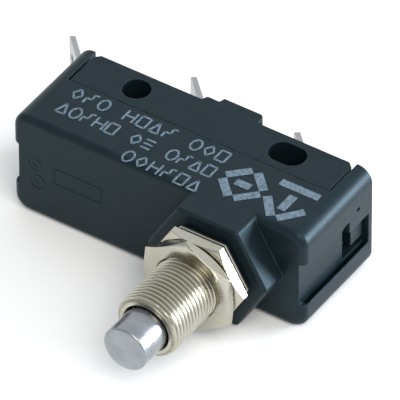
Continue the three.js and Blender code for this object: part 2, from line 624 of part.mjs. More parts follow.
/** The helix that the spring's wire follows, between two places along Y. */
class SpringPath extends THREE.Curve {
  constructor(from, to) {
    super();
    this.from = from;
    this.to = to;
  }

  getPoint(t, target = new THREE.Vector3()) {
    const angle = t * SPRING_TURNS * 2 * Math.PI;
    const r = (SPRING_DIAMETER - SPRING_WIRE) / 2;
    const y = this.from + t * (this.to - this.from);
    return target.set(AXIS_X + r * Math.cos(angle), y, MID_Z + r * Math.sin(angle));
  }
}

/** Overtravel spring between the plunger's cup and the seat. */
function overtravelSpring() {
  const section = new THREE.Shape();
  section.absarc(0, 0, SPRING_WIRE / 2, 0, 2 * Math.PI);
  const margin = SPRING_WIRE / 2 + GAP;
  return solidOf(new THREE.ExtrudeGeometry(section, {
    steps: SPRING_TURNS * STEPS_PER_TURN,
    curveSegments: WIRE_SEGMENTS,
    extrudePath: new SpringPath(CUP_FLOOR + margin, SEAT_FRONT - margin),
  }));
}

/** Metal disc that the spring presses on the inner button. */
function springSeat() {
  const r = SEAT_DIAMETER / 2;
  const pip = r / 2;
  return turned([[0, SEAT_FRONT - SEAT_THICKNESS], [pip, SEAT_FRONT - SEAT_THICKNESS], [pip, SEAT_FRONT],
    [r, SEAT_FRONT], [r, SEAT_REAR], [0, SEAT_REAR]]);
}

/** Moulded button that carries the stroke through the front wall to the blade. */
function innerButton() {
  const [r, flange] = [BUTTON_DIAMETER / 2, BUTTON_FLANGE_DIAMETER / 2];
  const tip = BLADE_Y - GAP;
  return turned([[0, BUTTON_FLANGE_FRONT], [flange, BUTTON_FLANGE_FRONT], [flange, BUTTON_FLANGE_REAR],
    [r, BUTTON_FLANGE_REAR], [r, tip - r / 3], [r * BUTTON_TIP_SHARE, tip], [0, tip]]);
}

// ---------------------------------------------------------------- snap-action mechanism

/** Long flat blade, with a window between its two rails, fixed at its right end. */
function snapBlade() {
  const [low, high] = [MID_Z - BLADE_WIDTH / 2, MID_Z + BLADE_WIDTH / 2];
  const right = ANCHOR_X + BLADE_OVERHANG;
  const plate = box([CONTACT_X - BLADE_OVERHANG, BLADE_Y, low], [right, BLADE_REAR, high]);
  const window = box([CONTACT_X + WINDOW_MARGIN, BLADE_Y - PAST, low + BLADE_RAIL],
    [SUPPORT_LIP_X + WINDOW_PAST_LIP, BLADE_REAR + PAST, high - BLADE_RAIL]);
  return cut(plate, window,
    bore(CONTACT_SHANK_DIAMETER / 2 + GAP, BLADE_Y - PAST, BLADE_REAR + PAST, CONTACT_X),
    bore(RIVET_DIAMETER / 2 + GAP, BLADE_Y - PAST, BLADE_REAR + PAST, ANCHOR_X));
}

/** Bowed leaf in the blade's window. It snaps the blade over. */
function snapSpring() {
  const x0 = CONTACT_X + WINDOW_MARGIN + GAP;
  const x1 = SUPPORT_LIP_X - 2 * GAP;
  const half = (x1 - x0) / 2;
  const radius = (half * half + BOW_BULGE * BOW_BULGE) / (2 * BOW_BULGE);
  const sweep = Math.asin(half / radius);
  const [cx, cy] = [(x0 + x1) / 2, BLADE_REAR + radius - BOW_BULGE];
  const bow = new THREE.Shape();
  bow.absarc(cx, cy, radius, -Math.PI / 2 - sweep, -Math.PI / 2 + sweep);
  bow.absarc(cx, cy, radius - BLADE_THICKNESS, -Math.PI / 2 + sweep, -Math.PI / 2 - sweep, true);
  bow.closePath();
  return extrude(bow, 'z', MID_Z - BOW_WIDTH / 2, MID_Z + BOW_WIDTH / 2);
}

/** Support under the blade: a pad at the anchor, and a lip that holds the bow's end. */
function bladeSupport() {
  const base = SUPPORT_REAR - SUPPORT_THICKNESS;
  const end = SUPPORT_LIP_X;
  const pad = ANCHOR_X - SUPPORT_PAD / 2;
  const right = ANCHOR_X + BLADE_OVERHANG;
  const lip = SUPPORT_FRONT + LIP_DROP;
  const outline = polygon([end, lip], [end + SUPPORT_THICKNESS, lip],
    [end + SUPPORT_THICKNESS, base], [pad, base], [pad, SUPPORT_FRONT], [right, SUPPORT_FRONT],
    [right, SUPPORT_REAR], [end, SUPPORT_REAR]);
  const half = SUPPORT_WIDTH / 2;
  return cut(extrude(outline, 'z', MID_Z - half, MID_Z + half),
    bore(RIVET_DIAMETER / 2 + GAP, SUPPORT_FRONT - PAST, SUPPORT_REAR + PAST, ANCHOR_X));
}

/** Rivet through the blade, its support and the common terminal's foot. */
function bladeRivet() {
  const [shank, head] = [RIVET_DIAMETER / 2, RIVET_HEAD_DIAMETER / 2];
  const front = BLADE_Y - GAP;
  const tail = NO_FOOT_REAR + GAP;
  const flat = head * RIVET_FLAT_SHARE;
  return turned([[0, front - RIVET_HEAD], [flat, front - RIVET_HEAD], [head, front], [shank, front],
    [shank, tail], [head, tail], [flat, tail + RIVET_HEAD - GAP], [0, tail + RIVET_HEAD - GAP]], ANCHOR_X);
}

/** Two-faced contact riveted in the blade's free end. */
function movingContact() {
  const [shank, face] = [CONTACT_SHANK_DIAMETER / 2, CONTACT_DIAMETER / 2];
  return turned([[0, MOVING_FRONT], [face, MOVING_FRONT], [face, MOVING_FRONT + CONTACT_FACE],
    [shank, MOVING_FRONT + CONTACT_FACE], [shank, MOVING_REAR - CONTACT_FACE],
    [face, MOVING_REAR - CONTACT_FACE],
    [face, MOVING_REAR], [0, MOVING_REAR]], CONTACT_X);
}

/** Fixed contact with its shank in a foot. The face looks to +Y or -Y. */
function fixedContact(face, sense, footSide) {
  const [shank, radius] = [CONTACT_SHANK_DIAMETER / 2, CONTACT_DIAMETER / 2];
  const back = face - sense * CONTACT_FACE;
  return turned([[0, face], [radius, face], [radius, back], [shank, back],
    [shank, footSide], [0, footSide]], CONTACT_X);
}

const ncContact = () => fixedContact(NC_FACE, 1, NC_FOOT_FRONT);
const noContact = () => fixedContact(NO_FACE, -1, NO_FOOT_REAR);

// ---------------------------------------------------------------- finishes and assembly

const FINISHES = {
  case_plastic: { color: 0x2c333a, roughness: 0.55, metalness: 0.0 },
  nickel: { color: 0xc9c6b4, roughness: 0.25, metalness: 1.0 },
  steel: { color: 0xb9bcc0, roughness: 0.3, metalness: 1.0 },
  spring_steel: { color: 0x9a9ca0, roughness: 0.4, metalness: 1.0 },
  tinned: { color: 0xd8d5d6, roughness: 0.35, metalness: 1.0 },
  copper_alloy: { color: 0xb98a4f, roughness: 0.35, metalness: 1.0 },
  silver: { color: 0xe4e2dc, roughness: 0.25, metalness: 1.0 },
  red_plastic: { color: 0x8c2f26, roughness: 0.5, metalness: 0.0 },
};

const switchAssembly = new THREE.Group();

/** Adds one named part with its own material to a group. */
function addPart(group, name, finish, solid) {
  const mesh = new THREE.Mesh(geometryOf(solid), new THREE.MeshStandardMaterial(FINISHES[finish]));
  mesh.name = name;
  group.add(mesh);
}

/** The two halves of the case. */
function caseGroup() {
  const group = new THREE.Group();
  addPart(group, 'cover', 'case_plastic', cover());
  addPart(group, 'terminal_block', 'case_plastic', terminalBlock());
  return group;
}

/** The bushing, its nuts, the plunger and what the plunger pushes on. */
function actuatorGroup() {
  const group = new THREE.Group();
  addPart(group, 'bushing', 'nickel', bushing());
  addPart(group, 'rear_nut', 'nickel', rearNut());
  addPart(group, 'front_nut', 'nickel', frontNut());
  addPart(group, 'plunger', 'steel', plunger());
  addPart(group, 'retaining_ring', 'spring_steel', retainingRing());
  addPart(group, 'overtravel_spring', 'spring_steel', overtravelSpring());
  addPart(group, 'spring_seat', 'steel', springSeat());
  addPart(group, 'inner_button', 'red_plastic', innerButton());
  return group;
}

/** The snap-action blade and the contacts and terminals that it switches. */
function mechanismGroup() {
  const group = new THREE.Group();
  addPart(group, 'snap_blade', 'copper_alloy', snapBlade());
  addPart(group, 'snap_spring', 'copper_alloy', snapSpring());
  addPart(group, 'moving_contact', 'silver', movingContact());
  addPart(group, 'blade_support', 'copper_alloy', bladeSupport());
  addPart(group, 'blade_rivet', 'copper_alloy', bladeRivet());
  addPart(group, 'nc_contact', 'silver', ncContact());
  addPart(group, 'no_contact', 'silver', noContact());
  addPart(group, 'nc_terminal', 'tinned', ncTerminal());
  addPart(group, 'no_terminal', 'tinned', noTerminal());
  addPart(group, 'com_terminal', 'tinned', comTerminal());
  return group;
}

switchAssembly.add(caseGroup(), actuatorGroup(), mechanismGroup());

export default switchAssembly;
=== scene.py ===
"""Looks of the panel-mounted plunger limit switch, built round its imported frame.

The frame's axes hold everywhere: +X runs along the case towards the plunger's end, the plunger
points to -Y, the tabs to +Y, and the switch lies on its lower side at Z = 0. Shapes are worked
out in millimetres and become metres when a piece is finished.
"""
from __future__ import annotations

import logging
import math
from dataclasses import dataclass
from enum import Enum
from typing import Callable, Sequence

import bmesh
import bpy
from mathutils import Matrix, Vector


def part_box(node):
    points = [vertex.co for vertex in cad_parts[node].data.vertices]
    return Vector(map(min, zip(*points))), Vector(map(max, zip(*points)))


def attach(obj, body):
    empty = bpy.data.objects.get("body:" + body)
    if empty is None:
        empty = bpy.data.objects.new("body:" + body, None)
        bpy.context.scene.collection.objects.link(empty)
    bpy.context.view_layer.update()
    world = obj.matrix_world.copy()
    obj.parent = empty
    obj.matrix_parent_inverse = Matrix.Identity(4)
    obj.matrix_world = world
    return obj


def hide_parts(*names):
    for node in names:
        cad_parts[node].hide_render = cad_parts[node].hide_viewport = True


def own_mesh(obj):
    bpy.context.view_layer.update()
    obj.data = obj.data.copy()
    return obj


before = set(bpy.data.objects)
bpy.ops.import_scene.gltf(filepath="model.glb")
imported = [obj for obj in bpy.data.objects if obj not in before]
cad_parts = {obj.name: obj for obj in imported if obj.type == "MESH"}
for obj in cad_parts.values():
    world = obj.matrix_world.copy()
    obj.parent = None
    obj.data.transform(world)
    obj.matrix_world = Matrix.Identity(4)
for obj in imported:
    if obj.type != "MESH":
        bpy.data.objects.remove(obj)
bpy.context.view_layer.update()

MM = 0.001  # one millimetre in metres
ROUND_STEPS = 96  # sides of a turned part
ARC_STEPS = 10  # steps in a rounded corner
SNAP_DIGITS = 4  # decimals of a millimetre that corners keep, so that flush faces are flush
PAST = 1.0  # how far a cutting tool reaches past what it cuts
FRESH = 1e-5  # corners closer than this are one corner in a fresh shape
SLIVER = 1e-4  # the same in a copied, cut or wound shape
MET = 2e-4  # the same where a cut or two skins meet
SHARP = math.radians(35)  # edges steeper than this stay crisp
FLAT = math.radians(1)  # faces that lean less than this are one face
RUB = "rub"  # face attribute: 1 on the softened edges of a moulding

log = logging.getLogger("limit_switch")

Colour = tuple[float, float, float]
Outline = list[tuple[float, float]]
Ring = Callable[[float], tuple[float, float]]


class Axis(Enum):
    """The direction in which an outline is drawn out."""

    X = 0
    Y = 1
    Z = 2

    def place(self, a: float, b: float, along: float) -> Vector:
        """Returns the point of an outline's (a, b) at a place along this axis."""
        across = (a, b)
        return Vector((*across[:self.value], along, *across[self.value:]))


class Side(Enum):
    """One end of the case."""

    LEFT = -1
    RIGHT = 1


# ------------------------------------------------------------------ node trees


class Signal:
    """A node's output that takes part in Python expressions on values."""

    def __init__(self, web: NodeWeb, socket: bpy.types.NodeSocket) -> None:
        """Wraps a socket of a tree.

        Args:
            web: The tree that the socket is in.
            socket: The output socket.
        """
        self.web = web
        self.socket = socket

    def math(self, operation: str, *others: Signal | float, swapped: bool = False) -> Signal:
        """Adds a Math node.

        Args:
            operation: The Math node's operation.
            others: The node's other values.
            swapped: Whether this signal comes last.

        Returns:
            The node's result.
        """
        values = [*others, self] if swapped else [self, *others]
        return self.web.node("ShaderNodeMath", {"operation": operation}, dict(enumerate(values)))[0]

    def __add__(self, other: Signal | float) -> Signal:
        """Sum."""
        return self.math("ADD", other)

    __radd__ = __add__

    def __sub__(self, other: Signal | float) -> Signal:
        """Difference."""
        return self.math("SUBTRACT", other)

    def __rsub__(self, other: Signal | float) -> Signal:
        """Reflected difference."""
        return self.math("SUBTRACT", other, swapped=True)

    def __mul__(self, other: Signal | float) -> Signal:
        """Product."""
        return self.math("MULTIPLY", other)

    __rmul__ = __mul__

    def __truediv__(self, other: Signal | float) -> Signal:
        """Quotient."""
        return self.math("DIVIDE", other)

    def __rtruediv__(self, other: Signal | float) -> Signal:
        """Reflected quotient."""
        return self.math("DIVIDE", other, swapped=True)

    def __pow__(self, other: Signal | float) -> Signal:
        """Power."""
        return self.math("POWER", other)

    def least(self, other: Signal | float) -> Signal:
        """The smaller of two values."""
        return self.math("MINIMUM", other)

    def most(self, other: Signal | float) -> Signal:
        """The larger of two values."""
        return self.math("MAXIMUM", other)

    def held(self, low: Signal | float = 0.0, high: Signal | float = 1.0) -> Signal:
        """The value kept between two limits."""
        return self.most(low).least(high)


class Made:
    """A node that was just added, whose outputs are read as signals by name or number."""

    def __init__(self, web: NodeWeb, node: bpy.types.Node) -> None:
        """Wraps a node of a tree."""
        self.web = web
        self.node = node

    def __getitem__(self, key: str | int) -> Signal:
        """Returns one output."""
        return Signal(self.web, self.node.outputs[key])


class NodeWeb:
    """A node tree under construction, for a material or for Geometry Nodes."""

    def __init__(self, tree: bpy.types.NodeTree) -> None:
        """Starts on an empty tree."""
        tree.nodes.clear()
        self.tree = tree

    def node(self, kind: str, settings: dict | None = None, values: dict | None = None) -> Made:
        """Adds a node.

        Args:
            kind: The node's type.
            settings: What is set on the node itself, first.
            values: The value or link of each input, by name or number.

        Returns:
            The node, to read its outputs from.
        """
        made = self.tree.nodes.new(kind)
        for name, value in (settings or {}).items():
            setattr(made, name, value)
        for key, value in (values or {}).items():
            if isinstance(value, Signal):
                self.tree.links.new(value.socket, made.inputs[key])
            else:
                made.inputs[key].default_value = value
        return Made(self, made)

    def vector(self, x: Signal | float, y: Signal | float, z: Signal | float) -> Signal:
        """Returns a vector of three values."""
        return self.node("ShaderNodeCombineXYZ", {}, {0: x, 1: y, 2: z})[0]

    def split(self, vector: Signal) -> Made:
        """Returns a vector's values, to read as X, Y and Z."""
        return self.node("ShaderNodeSeparateXYZ", {}, {0: vector})


class Paint(NodeWeb):
    """A material under construction."""

    def __init__(self, name: str) -> None:
        """Makes a material.

        Args:
            name: Its name.
        """
        self.material = bpy.data.materials.new(name)
        self.material.use_nodes = True
        super().__init__(self.material.node_tree)
        self.place = self.node("ShaderNodeTexCoord")["Object"]

    def about(self, x: float, y: float, z: float, stretch: Sequence[float] = (1, 1, 1)) -> Signal:
        """Returns the place measured from a point in millimetres, and stretched."""
        moved = [-v * MM * s for v, s in zip((x, y, z), stretch)]
        return self.node("ShaderNodeMapping", {"vector_type": "POINT"}, {
            "Vector": self.place, "Location": moved, "Scale": list(stretch)})[0]

    def noise(self, grains: float, detail: float = 2.0, place: Signal | None = None) -> Signal:
        """Returns a noise from 0 to 1 with that many grains to the millimetre."""
        values = {"Vector": place or self.place, "Scale": grains / MM, "Detail": detail}
        return self.node("ShaderNodeTexNoise", {}, values)[0]

    def band(self, signal: Signal, low: float, high: float) -> Signal:
        """Returns a signal spread from 0 at one level to 1 at another."""
        return ((signal - low) / (high - low)).held()

    def mixed(self, share: Signal | float, first: Signal | Colour,
              second: Signal | Colour) -> Signal:
        """Returns a mix of two colours."""
        values = {0: share, 6: _rgba(first), 7: _rgba(second)}
        return self.node("ShaderNodeMix", {"data_type": "RGBA", "clamp_factor": True}, values)[2]

    def bump(self, height: Signal, depth: float, strength: float = 1.0) -> Signal:
        """Returns a normal raised by a height, with the relief's depth in millimetres."""
        values = {"Height": height, "Distance": depth * MM, "Strength": strength}
        return self.node("ShaderNodeBump", {}, values)[0]

    def finish(self, **sockets: Signal | float | Sequence[float]) -> bpy.types.Material:
        """Ends in one shader.

        Args:
            sockets: The shader's inputs, with _ for a space in each name.

        Returns:
            The finished material.
        """
        values = {name.replace("_", " "): value for name, value in sockets.items()}
        shader = self.node("ShaderNodeBsdfPrincipled", {}, values)[0]
        self.node("ShaderNodeOutputMaterial", {}, {"Surface": shader})
        return self.material


def _rgba(colour: Signal | Colour) -> Signal | tuple[float, ...]:
    """Returns a colour as a socket takes it."""
    return colour if isinstance(colour, Signal) else (*colour, 1.0)


# ------------------------------------------------------------------ finishes


# In a finish, grains are a noise's grains to the millimetre, and a band's two levels are the
# noise's values at which it starts and is full. Relief is in millimetres.


@dataclass(frozen=True)
class MouldedPlastic:
    """Dark filled plastic from a spark-eroded mould, with rubbed edges."""

    name: str
    colour: Colour
    cloud: Colour
    rubbed: Colour
    roughness: float = 0.42
    specular: float = 0.27
    glint: Colour = (0.6, 0.88, 1.0)
    grain: float = 0.012
    fine_grains: float = 6.0
    cloud_grains: float = 0.35
    streak_grains: float = 1.2
    streak_stretch: tuple[float, float, float] = (0.25, 1.0, 1.0)
    streak_share: float = 0.25
    speck_share: float = 0.35
    fine_roughness: float = 0.16
    cloud_roughness: float = 0.12
    rub_polish: float = 0.08

    def build(self) -> bpy.types.Material:
        """Builds the plastic.

        Returns:
            The material.
        """
        p = Paint(self.name)
        fine, coarse = p.noise(self.fine_grains, 3.0), p.noise(self.cloud_grains, 4.0)
        streak = p.noise(self.streak_grains, 2.0, p.about(0, 0, 0, self.streak_stretch))
        clouds = p.band(coarse, 0.36, 0.66) * (1 - self.streak_share)
        patch = clouds + p.band(streak, 0.5, 0.75) * self.streak_share
        edge = p.node("ShaderNodeAttribute", {"attribute_name": RUB})["Fac"]
        worn = edge * p.band(p.noise(0.9, 3.0), 0.3, 0.62)
        speck = p.band(p.noise(3.0, 1.0), 0.7, 0.78) * self.speck_share
        face = p.mixed(speck, p.mixed(patch, self.colour, self.cloud), self.rubbed)
        uneven = (fine - 0.5) * self.fine_roughness + (coarse - 0.5) * self.cloud_roughness
        return p.finish(
            Base_Color=p.mixed(worn, face, self.rubbed),
            Roughness=self.roughness + uneven - worn * self.rub_polish,
            Specular_IOR_Level=self.specular, Specular_Tint=_rgba(self.glint),
            Normal=p.bump(fine + p.noise(1.6, 2.0) * 0.6, self.grain, 0.8))


@dataclass(frozen=True)
class TurnedMetal:
    """Metal that was turned round the plunger's axis, and plated or left bare."""

    name: str
    colour: Colour
    stain: Colour
    axis: tuple[float, float]
    roughness: float = 0.2
    marks: float = 9.0
    relief: float = 0.004
    stain_share: float = 0.8
    fog_roughness: float = 0.1
    mark_roughness: float = 0.14
    root_radius: float = 0.0
    crest_radius: float = 0.0
    root_fade: tuple[float, float] = (0.3, 0.1)
    root_colour: Colour = (0.2, 0.18, 0.13)
    root_share: tuple[float, float] = (0.55, 0.35)
    root_roughness: float = 0.12

    def build(self) -> bpy.types.Material:
        """Builds the metal, with darker roots where it has a thread.

        Returns:
            The material.
        """
        p = Paint(self.name)
        spot = p.split(p.about(self.axis[0], 0, self.axis[1]))
        across = (spot["X"] * spot["X"] + spot["Z"] * spot["Z"]) ** 0.5
        marks = p.noise(self.marks, 2.0, p.vector(across, spot["Y"], 0.0))
        patch = p.band(p.noise(0.28, 4.0), 0.38, 0.68)
        fog = p.band(p.noise(0.9, 3.0), 0.45, 0.75)
        colour = p.mixed(patch * self.stain_share, self.colour, self.stain)
        rough = self.roughness + fog * self.fog_roughness + (marks - 0.5) * self.mark_roughness
        if self.crest_radius:
            deep = 1 - p.band(across, self.root_radius * MM, self.crest_radius * MM)
            low, high = ((self.root_radius - fade) * MM for fade in self.root_fade)
            threaded = deep * p.band(across, low, high)
            plain, fogged = self.root_share
            colour = p.mixed(threaded * (plain + fog * fogged), colour, self.root_colour)
            rough = rough + threaded * self.root_roughness
        return p.finish(Base_Color=colour, Roughness=rough.held(0.06, 0.9), Metallic=1.0,
                        Normal=p.bump(marks + fog * 0.3, self.relief, 0.7))


@dataclass(frozen=True)
class RolledMetal:
    """Strip metal with rolling lines along one direction."""

    name: str
    colour: Colour
    stain: Colour
    roughness: float = 0.3
    along: tuple[float, float, float] = (0.15, 0.15, 1.0)
    relief: float = 0.006
    patch_share: float = 0.7
    spot_share: float = 0.3
    line_roughness: float = 0.2
    spot_roughness: float = 0.12

    def build(self) -> bpy.types.Material:
        """Builds the metal.

        Returns:
            The material.
        """
        p = Paint(self.name)
        lines = p.noise(7.0, 3.0, p.about(0, 0, 0, self.along))
        patch = p.band(p.noise(0.4, 4.0), 0.4, 0.7)
        spot = p.band(p.noise(2.2, 2.0), 0.62, 0.75)
        stained = patch * self.patch_share + spot * self.spot_share
        uneven = (lines - 0.5) * self.line_roughness + spot * self.spot_roughness
        return p.finish(Base_Color=p.mixed(stained, self.colour, self.stain), Metallic=1.0,
                        Roughness=self.roughness + uneven, Normal=p.bump(lines, self.relief, 0.6))


@dataclass(frozen=True)
class PadInk:
    """Thin pad-printed ink, with the plastic grinning through here and there."""

    name: str
    colour: Colour
    thin: Colour
    thin_share: float = 0.75
    roughness: float = 0.5
    uneven: float = 0.2
    relief: float = 0.008

    def build(self) -> bpy.types.Material:
        """Builds the ink.

        Returns:
            The material.
        """
        p = Paint(self.name)
        broken = p.band(p.noise(2.6, 3.0), 0.42, 0.64)
        fine = p.noise(6.0, 2.0)
        return p.finish(Base_Color=p.mixed(broken * self.thin_share, self.colour, self.thin),
                        Roughness=self.roughness + (fine - 0.5) * self.uneven,
                        Normal=p.bump(fine, self.relief, 0.6))


@dataclass(frozen=True)
class FloorPaint:
    """Matt white floor."""

    name: str
    level: float
    roughness: float = 0.85
    specular: float = 0.2
    uneven: float = 0.01

    def build(self) -> bpy.types.Material:
        """Builds the paint.

        Returns:
            The material.
        """
        p = Paint(self.name)
        shade = self.level + (p.noise(0.01, 2.0) - 0.5) * self.uneven
        tone = p.node("ShaderNodeCombineColor", {}, {0: shade, 1: shade, 2: shade})[0]
        return p.finish(Base_Color=tone, Roughness=self.roughness, Specular_IOR_Level=self.specular)


# ------------------------------------------------------------------ outlines and solids


def arc(x: float, y: float, radius: float, start: float, end: float,
        steps: int = ARC_STEPS) -> Outline:
    """Returns points on a circle's arc.

    Args:
        x: The centre's first coordinate.
        y: The centre's second coordinate.
        radius: The arc's radius.
        start: The angle it starts at, in degrees.
        end: The angle it ends at, in degrees.
        steps: The number of steps.

    Returns:
        The points, both ends included.
    """
    angles = [math.radians(start + (end - start) * k / steps) for k in range(steps + 1)]
    return [(x + radius * math.cos(a), y + radius * math.sin(a)) for a in angles]


def rounded_box_outline(x0: float, y0: float, x1: float, y1: float, radius: float) -> Outline:
    """Returns a rectangle with a round at each corner."""
    r = radius
    return [*arc(x1 - r, y1 - r, r, 0, 90), *arc(x0 + r, y1 - r, r, 90, 180),
            *arc(x0 + r, y0 + r, r, 180, 270), *arc(x1 - r, y0 + r, r, 270, 360)]


def hexagon_reach(across_flats: float, angle: float) -> float:
    """Returns how far a hexagon with a corner at angle 0 reaches from its centre at an angle."""
    sixth = math.pi / 3
    return across_flats / 2 / math.cos(angle % sixth - sixth / 2)


def linked(name: str, data: bpy.types.ID) -> bpy.types.Object:
    """Makes an object and links it to the scene.

    Args:
        name: The object's name.
        data: The mesh, light or camera that it shows.

    Returns:
        The object.
    """
    made = bpy.data.objects.new(name, data)
    bpy.context.scene.collection.objects.link(made)
    return made


def baked(work: bpy.types.Object) -> bpy.types.Mesh:
    """Turns an object into the plain mesh that its modifiers give.

    Args:
        work: The object, which is removed together with its own mesh.

    Returns:
        The evaluated mesh.
    """
    graph = bpy.context.evaluated_depsgraph_get()
    mesh = bpy.data.meshes.new_from_object(work.evaluated_get(graph))
    spent = work.data
    bpy.data.objects.remove(work)
    bpy.data.meshes.remove(spent)
    return mesh


class Solid:
    """A closed body under construction, in millimetres."""

    def __init__(self, mesh: bpy.types.Mesh) -> None:
        """Wraps a mesh, which the body owns from then on."""
        self.mesh = mesh

    @classmethod
    def of(cls, bm: bmesh.types.BMesh, tidy: bool = True) -> Solid:
        """Closes a bmesh into a body.

        Args:
            bm: The bmesh, which is freed.
            tidy: Whether doubles are merged and the faces turned out.

        Returns:
            The body.
        """
        if tidy:
            for vertex in bm.verts:
                vertex.co = [round(v, SNAP_DIGITS) for v in vertex.co]
            bmesh.ops.remove_doubles(bm, verts=bm.verts, dist=FRESH)
            bmesh.ops.recalc_face_normals(bm, faces=bm.faces)
        mesh = bpy.data.meshes.new("work")
        bm.to_mesh(mesh)
        bm.free()
        return cls(mesh)

    @classmethod
    def extruded(cls, outline: Outline, axis: Axis, start: float, end: float) -> Solid:
        """Draws an outline out along an axis.

        Args:
            outline: The outline's points.
            axis: The direction.
            start: Where the body starts along the axis.
            end: Where it ends.

        Returns:
            The body.
        """
        bm = bmesh.new()
        low, high = ([bm.verts.new(axis.place(a, b, along)) for a, b in outline]
                     for along in (start, end))
        bm.faces.new(low)
        bm.faces.new(reversed(high))
        for k in range(len(outline)):
            n = (k + 1) % len(outline)
            bm.faces.new((low[n], low[k], high[k], high[n]))
        return cls.of(bm)

    @classmethod
    def box(cls, low: Sequence[float], high: Sequence[float]) -> Solid:
        """Makes a box between two corners."""
        (x0, y0, z0), (x1, y1, z1) = low, high
        return cls.extruded([(x0, y0), (x1, y0), (x1, y1), (x0, y1)], Axis.Z, z0, z1)

    @classmethod
    def ringed(cls, rings: Sequence[Ring], x: float, z: float, closed: bool = True) -> Solid:
        """Skins rings round an axis along Y.

        Args:
            rings: For each ring, what gives the radius and the place along Y at an angle.
            x: Where the axis stands.
            z: Where the axis stands.
            closed: Whether the last ring joins the first.

        Returns:
            The body.
        """
        bm = bmesh.new()
        turns = [2 * math.pi * k / ROUND_STEPS for k in range(ROUND_STEPS)]
        loops = []
        for ring in rings:
            places = [(a, *ring(a)) for a in turns]
            loops.append([bm.verts.new((x + r * math.cos(a), y, z + r * math.sin(a)))
                          for a, r, y in places])
        pairs = list(zip(loops, loops[1:])) + ([(loops[-1], loops[0])] if closed else [])
        for one, two in pairs:
            for k in range(ROUND_STEPS):
                n = (k + 1) % ROUND_STEPS
                bm.faces.new((one[k], one[n], two[n], two[k]))
        bmesh.ops.dissolve_degenerate(bm, dist=FRESH, edges=bm.edges)
        return cls.of(bm)

    @classmethod
    def turned(cls, profile: Outline, x: float, z: float, closed: bool = True) -> Solid:
        """Turns a profile of (radius, y) round an axis along Y."""
        return cls.ringed([lambda _, p=p: p for p in profile], x, z, closed)

    @classmethod
    def copied(cls, node: str) -> Solid:
        """Copies a frame node's shape, with its loose triangles merged and flat areas made whole.

        Args:
            node: The frame node's name.

        Returns:
            The body.
        """
        bm = bmesh.new()
        bm.from_mesh(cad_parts[node].data)
        bmesh.ops.transform(bm, matrix=Matrix.Scale(1 / MM, 4), verts=bm.verts)
        bmesh.ops.remove_doubles(bm, verts=bm.verts, dist=SLIVER)
        bmesh.ops.dissolve_limit(bm, angle_limit=FLAT, verts=bm.verts, edges=bm.edges)
        return cls.of(bm, tidy=False)

    def _changed(self, kind: str, **settings: object) -> Solid:
        """Applies one modifier.

        Args:
            kind: The modifier's type.
            settings: What is set on it.

        Returns:
            The changed body. This one is used up.
        """
        while len(self.mesh.materials) < 2:
            self.mesh.materials.append(None)
        work = linked("work", self.mesh)
        modifier = work.modifiers.new(kind.lower(), kind)
        for name, value in settings.items():
            setattr(modifier, name, value)
        return Solid(baked(work))

    def _edited(self, *steps: Callable[[bmesh.types.BMesh], object]) -> Solid:
        """Runs steps on the body's bmesh, one after another.

        Args:
            steps: The steps, each a call on the bmesh.

        Returns:
            The same body.
        """
        bm = bmesh.new()
        bm.from_mesh(self.mesh)
        for step in steps:
            step(bm)
        bm.to_mesh(self.mesh)
        bm.free()
        return self

    def _combined(self, operation: str, others: Sequence[Solid]) -> Solid:
        """Combines the body with others, one after another, and clears what each leaves.

        Args:
            operation: The Boolean's operation.
            others: The other bodies, which are used up.

        Returns:
            The combined body.
        """
        result = self
        for other in others:
            tool = linked("tool", other.mesh)
            result = result._changed("BOOLEAN", operation=operation, solver="EXACT", object=tool)
            bpy.data.objects.remove(tool)
            bpy.data.meshes.remove(other.mesh)
            result._edited(
                lambda bm: bmesh.ops.remove_doubles(bm, verts=bm.verts, dist=MET),
                lambda bm: bmesh.ops.dissolve_degenerate(bm, dist=SLIVER, edges=bm.edges))
        return result

    def joined(self, *others: Solid) -> Solid:
        """Returns the body with the others added."""
        return self._combined("UNION", others)

    def cut(self, *others: Solid) -> Solid:
        """Returns the body with the others cut away."""
        return self._combined("DIFFERENCE", others)

    def softened(self, width: float) -> Solid:
        """Returns the body with a small round on each crisp edge."""
        return self._changed(
            "BEVEL", width=width, segments=2, limit_method="ANGLE", angle_limit=SHARP,
            use_clamp_overlap=False, material=1, miter_outer="MITER_ARC")

    def faceted(self) -> Solid:
        """Returns the body in triangles, so that faces that aren't quite flat can be cut."""
        return self._edited(lambda bm: bmesh.ops.triangulate(bm, faces=bm.faces))

    def sealed(self) -> Solid:
        """Returns the body with the hairline slits that cuts leave filled."""
        return self._edited(lambda bm: bmesh.ops.holes_fill(
            bm, edges=[edge for edge in bm.edges if edge.is_boundary]))

    def front_rounded(self, front: float, width: float, steps: int) -> Solid:
        """Rounds the edges of the front face.

        Args:
            front: Where the face stands along Y.
            width: The round's width.
            steps: The faces across the round.

        Returns:
            The rounded body. This one is used up.
        """
        bm = bmesh.new()
        bm.from_mesh(self.mesh)
        edges = [edge for edge in bm.edges if max(v.co.y for v in edge.verts) < front + width / 2]
        bmesh.ops.bevel(bm, geom=edges, offset=width, segments=steps, profile=0.5, affect="EDGES")
        bpy.data.meshes.remove(self.mesh)
        return Solid.of(bm)

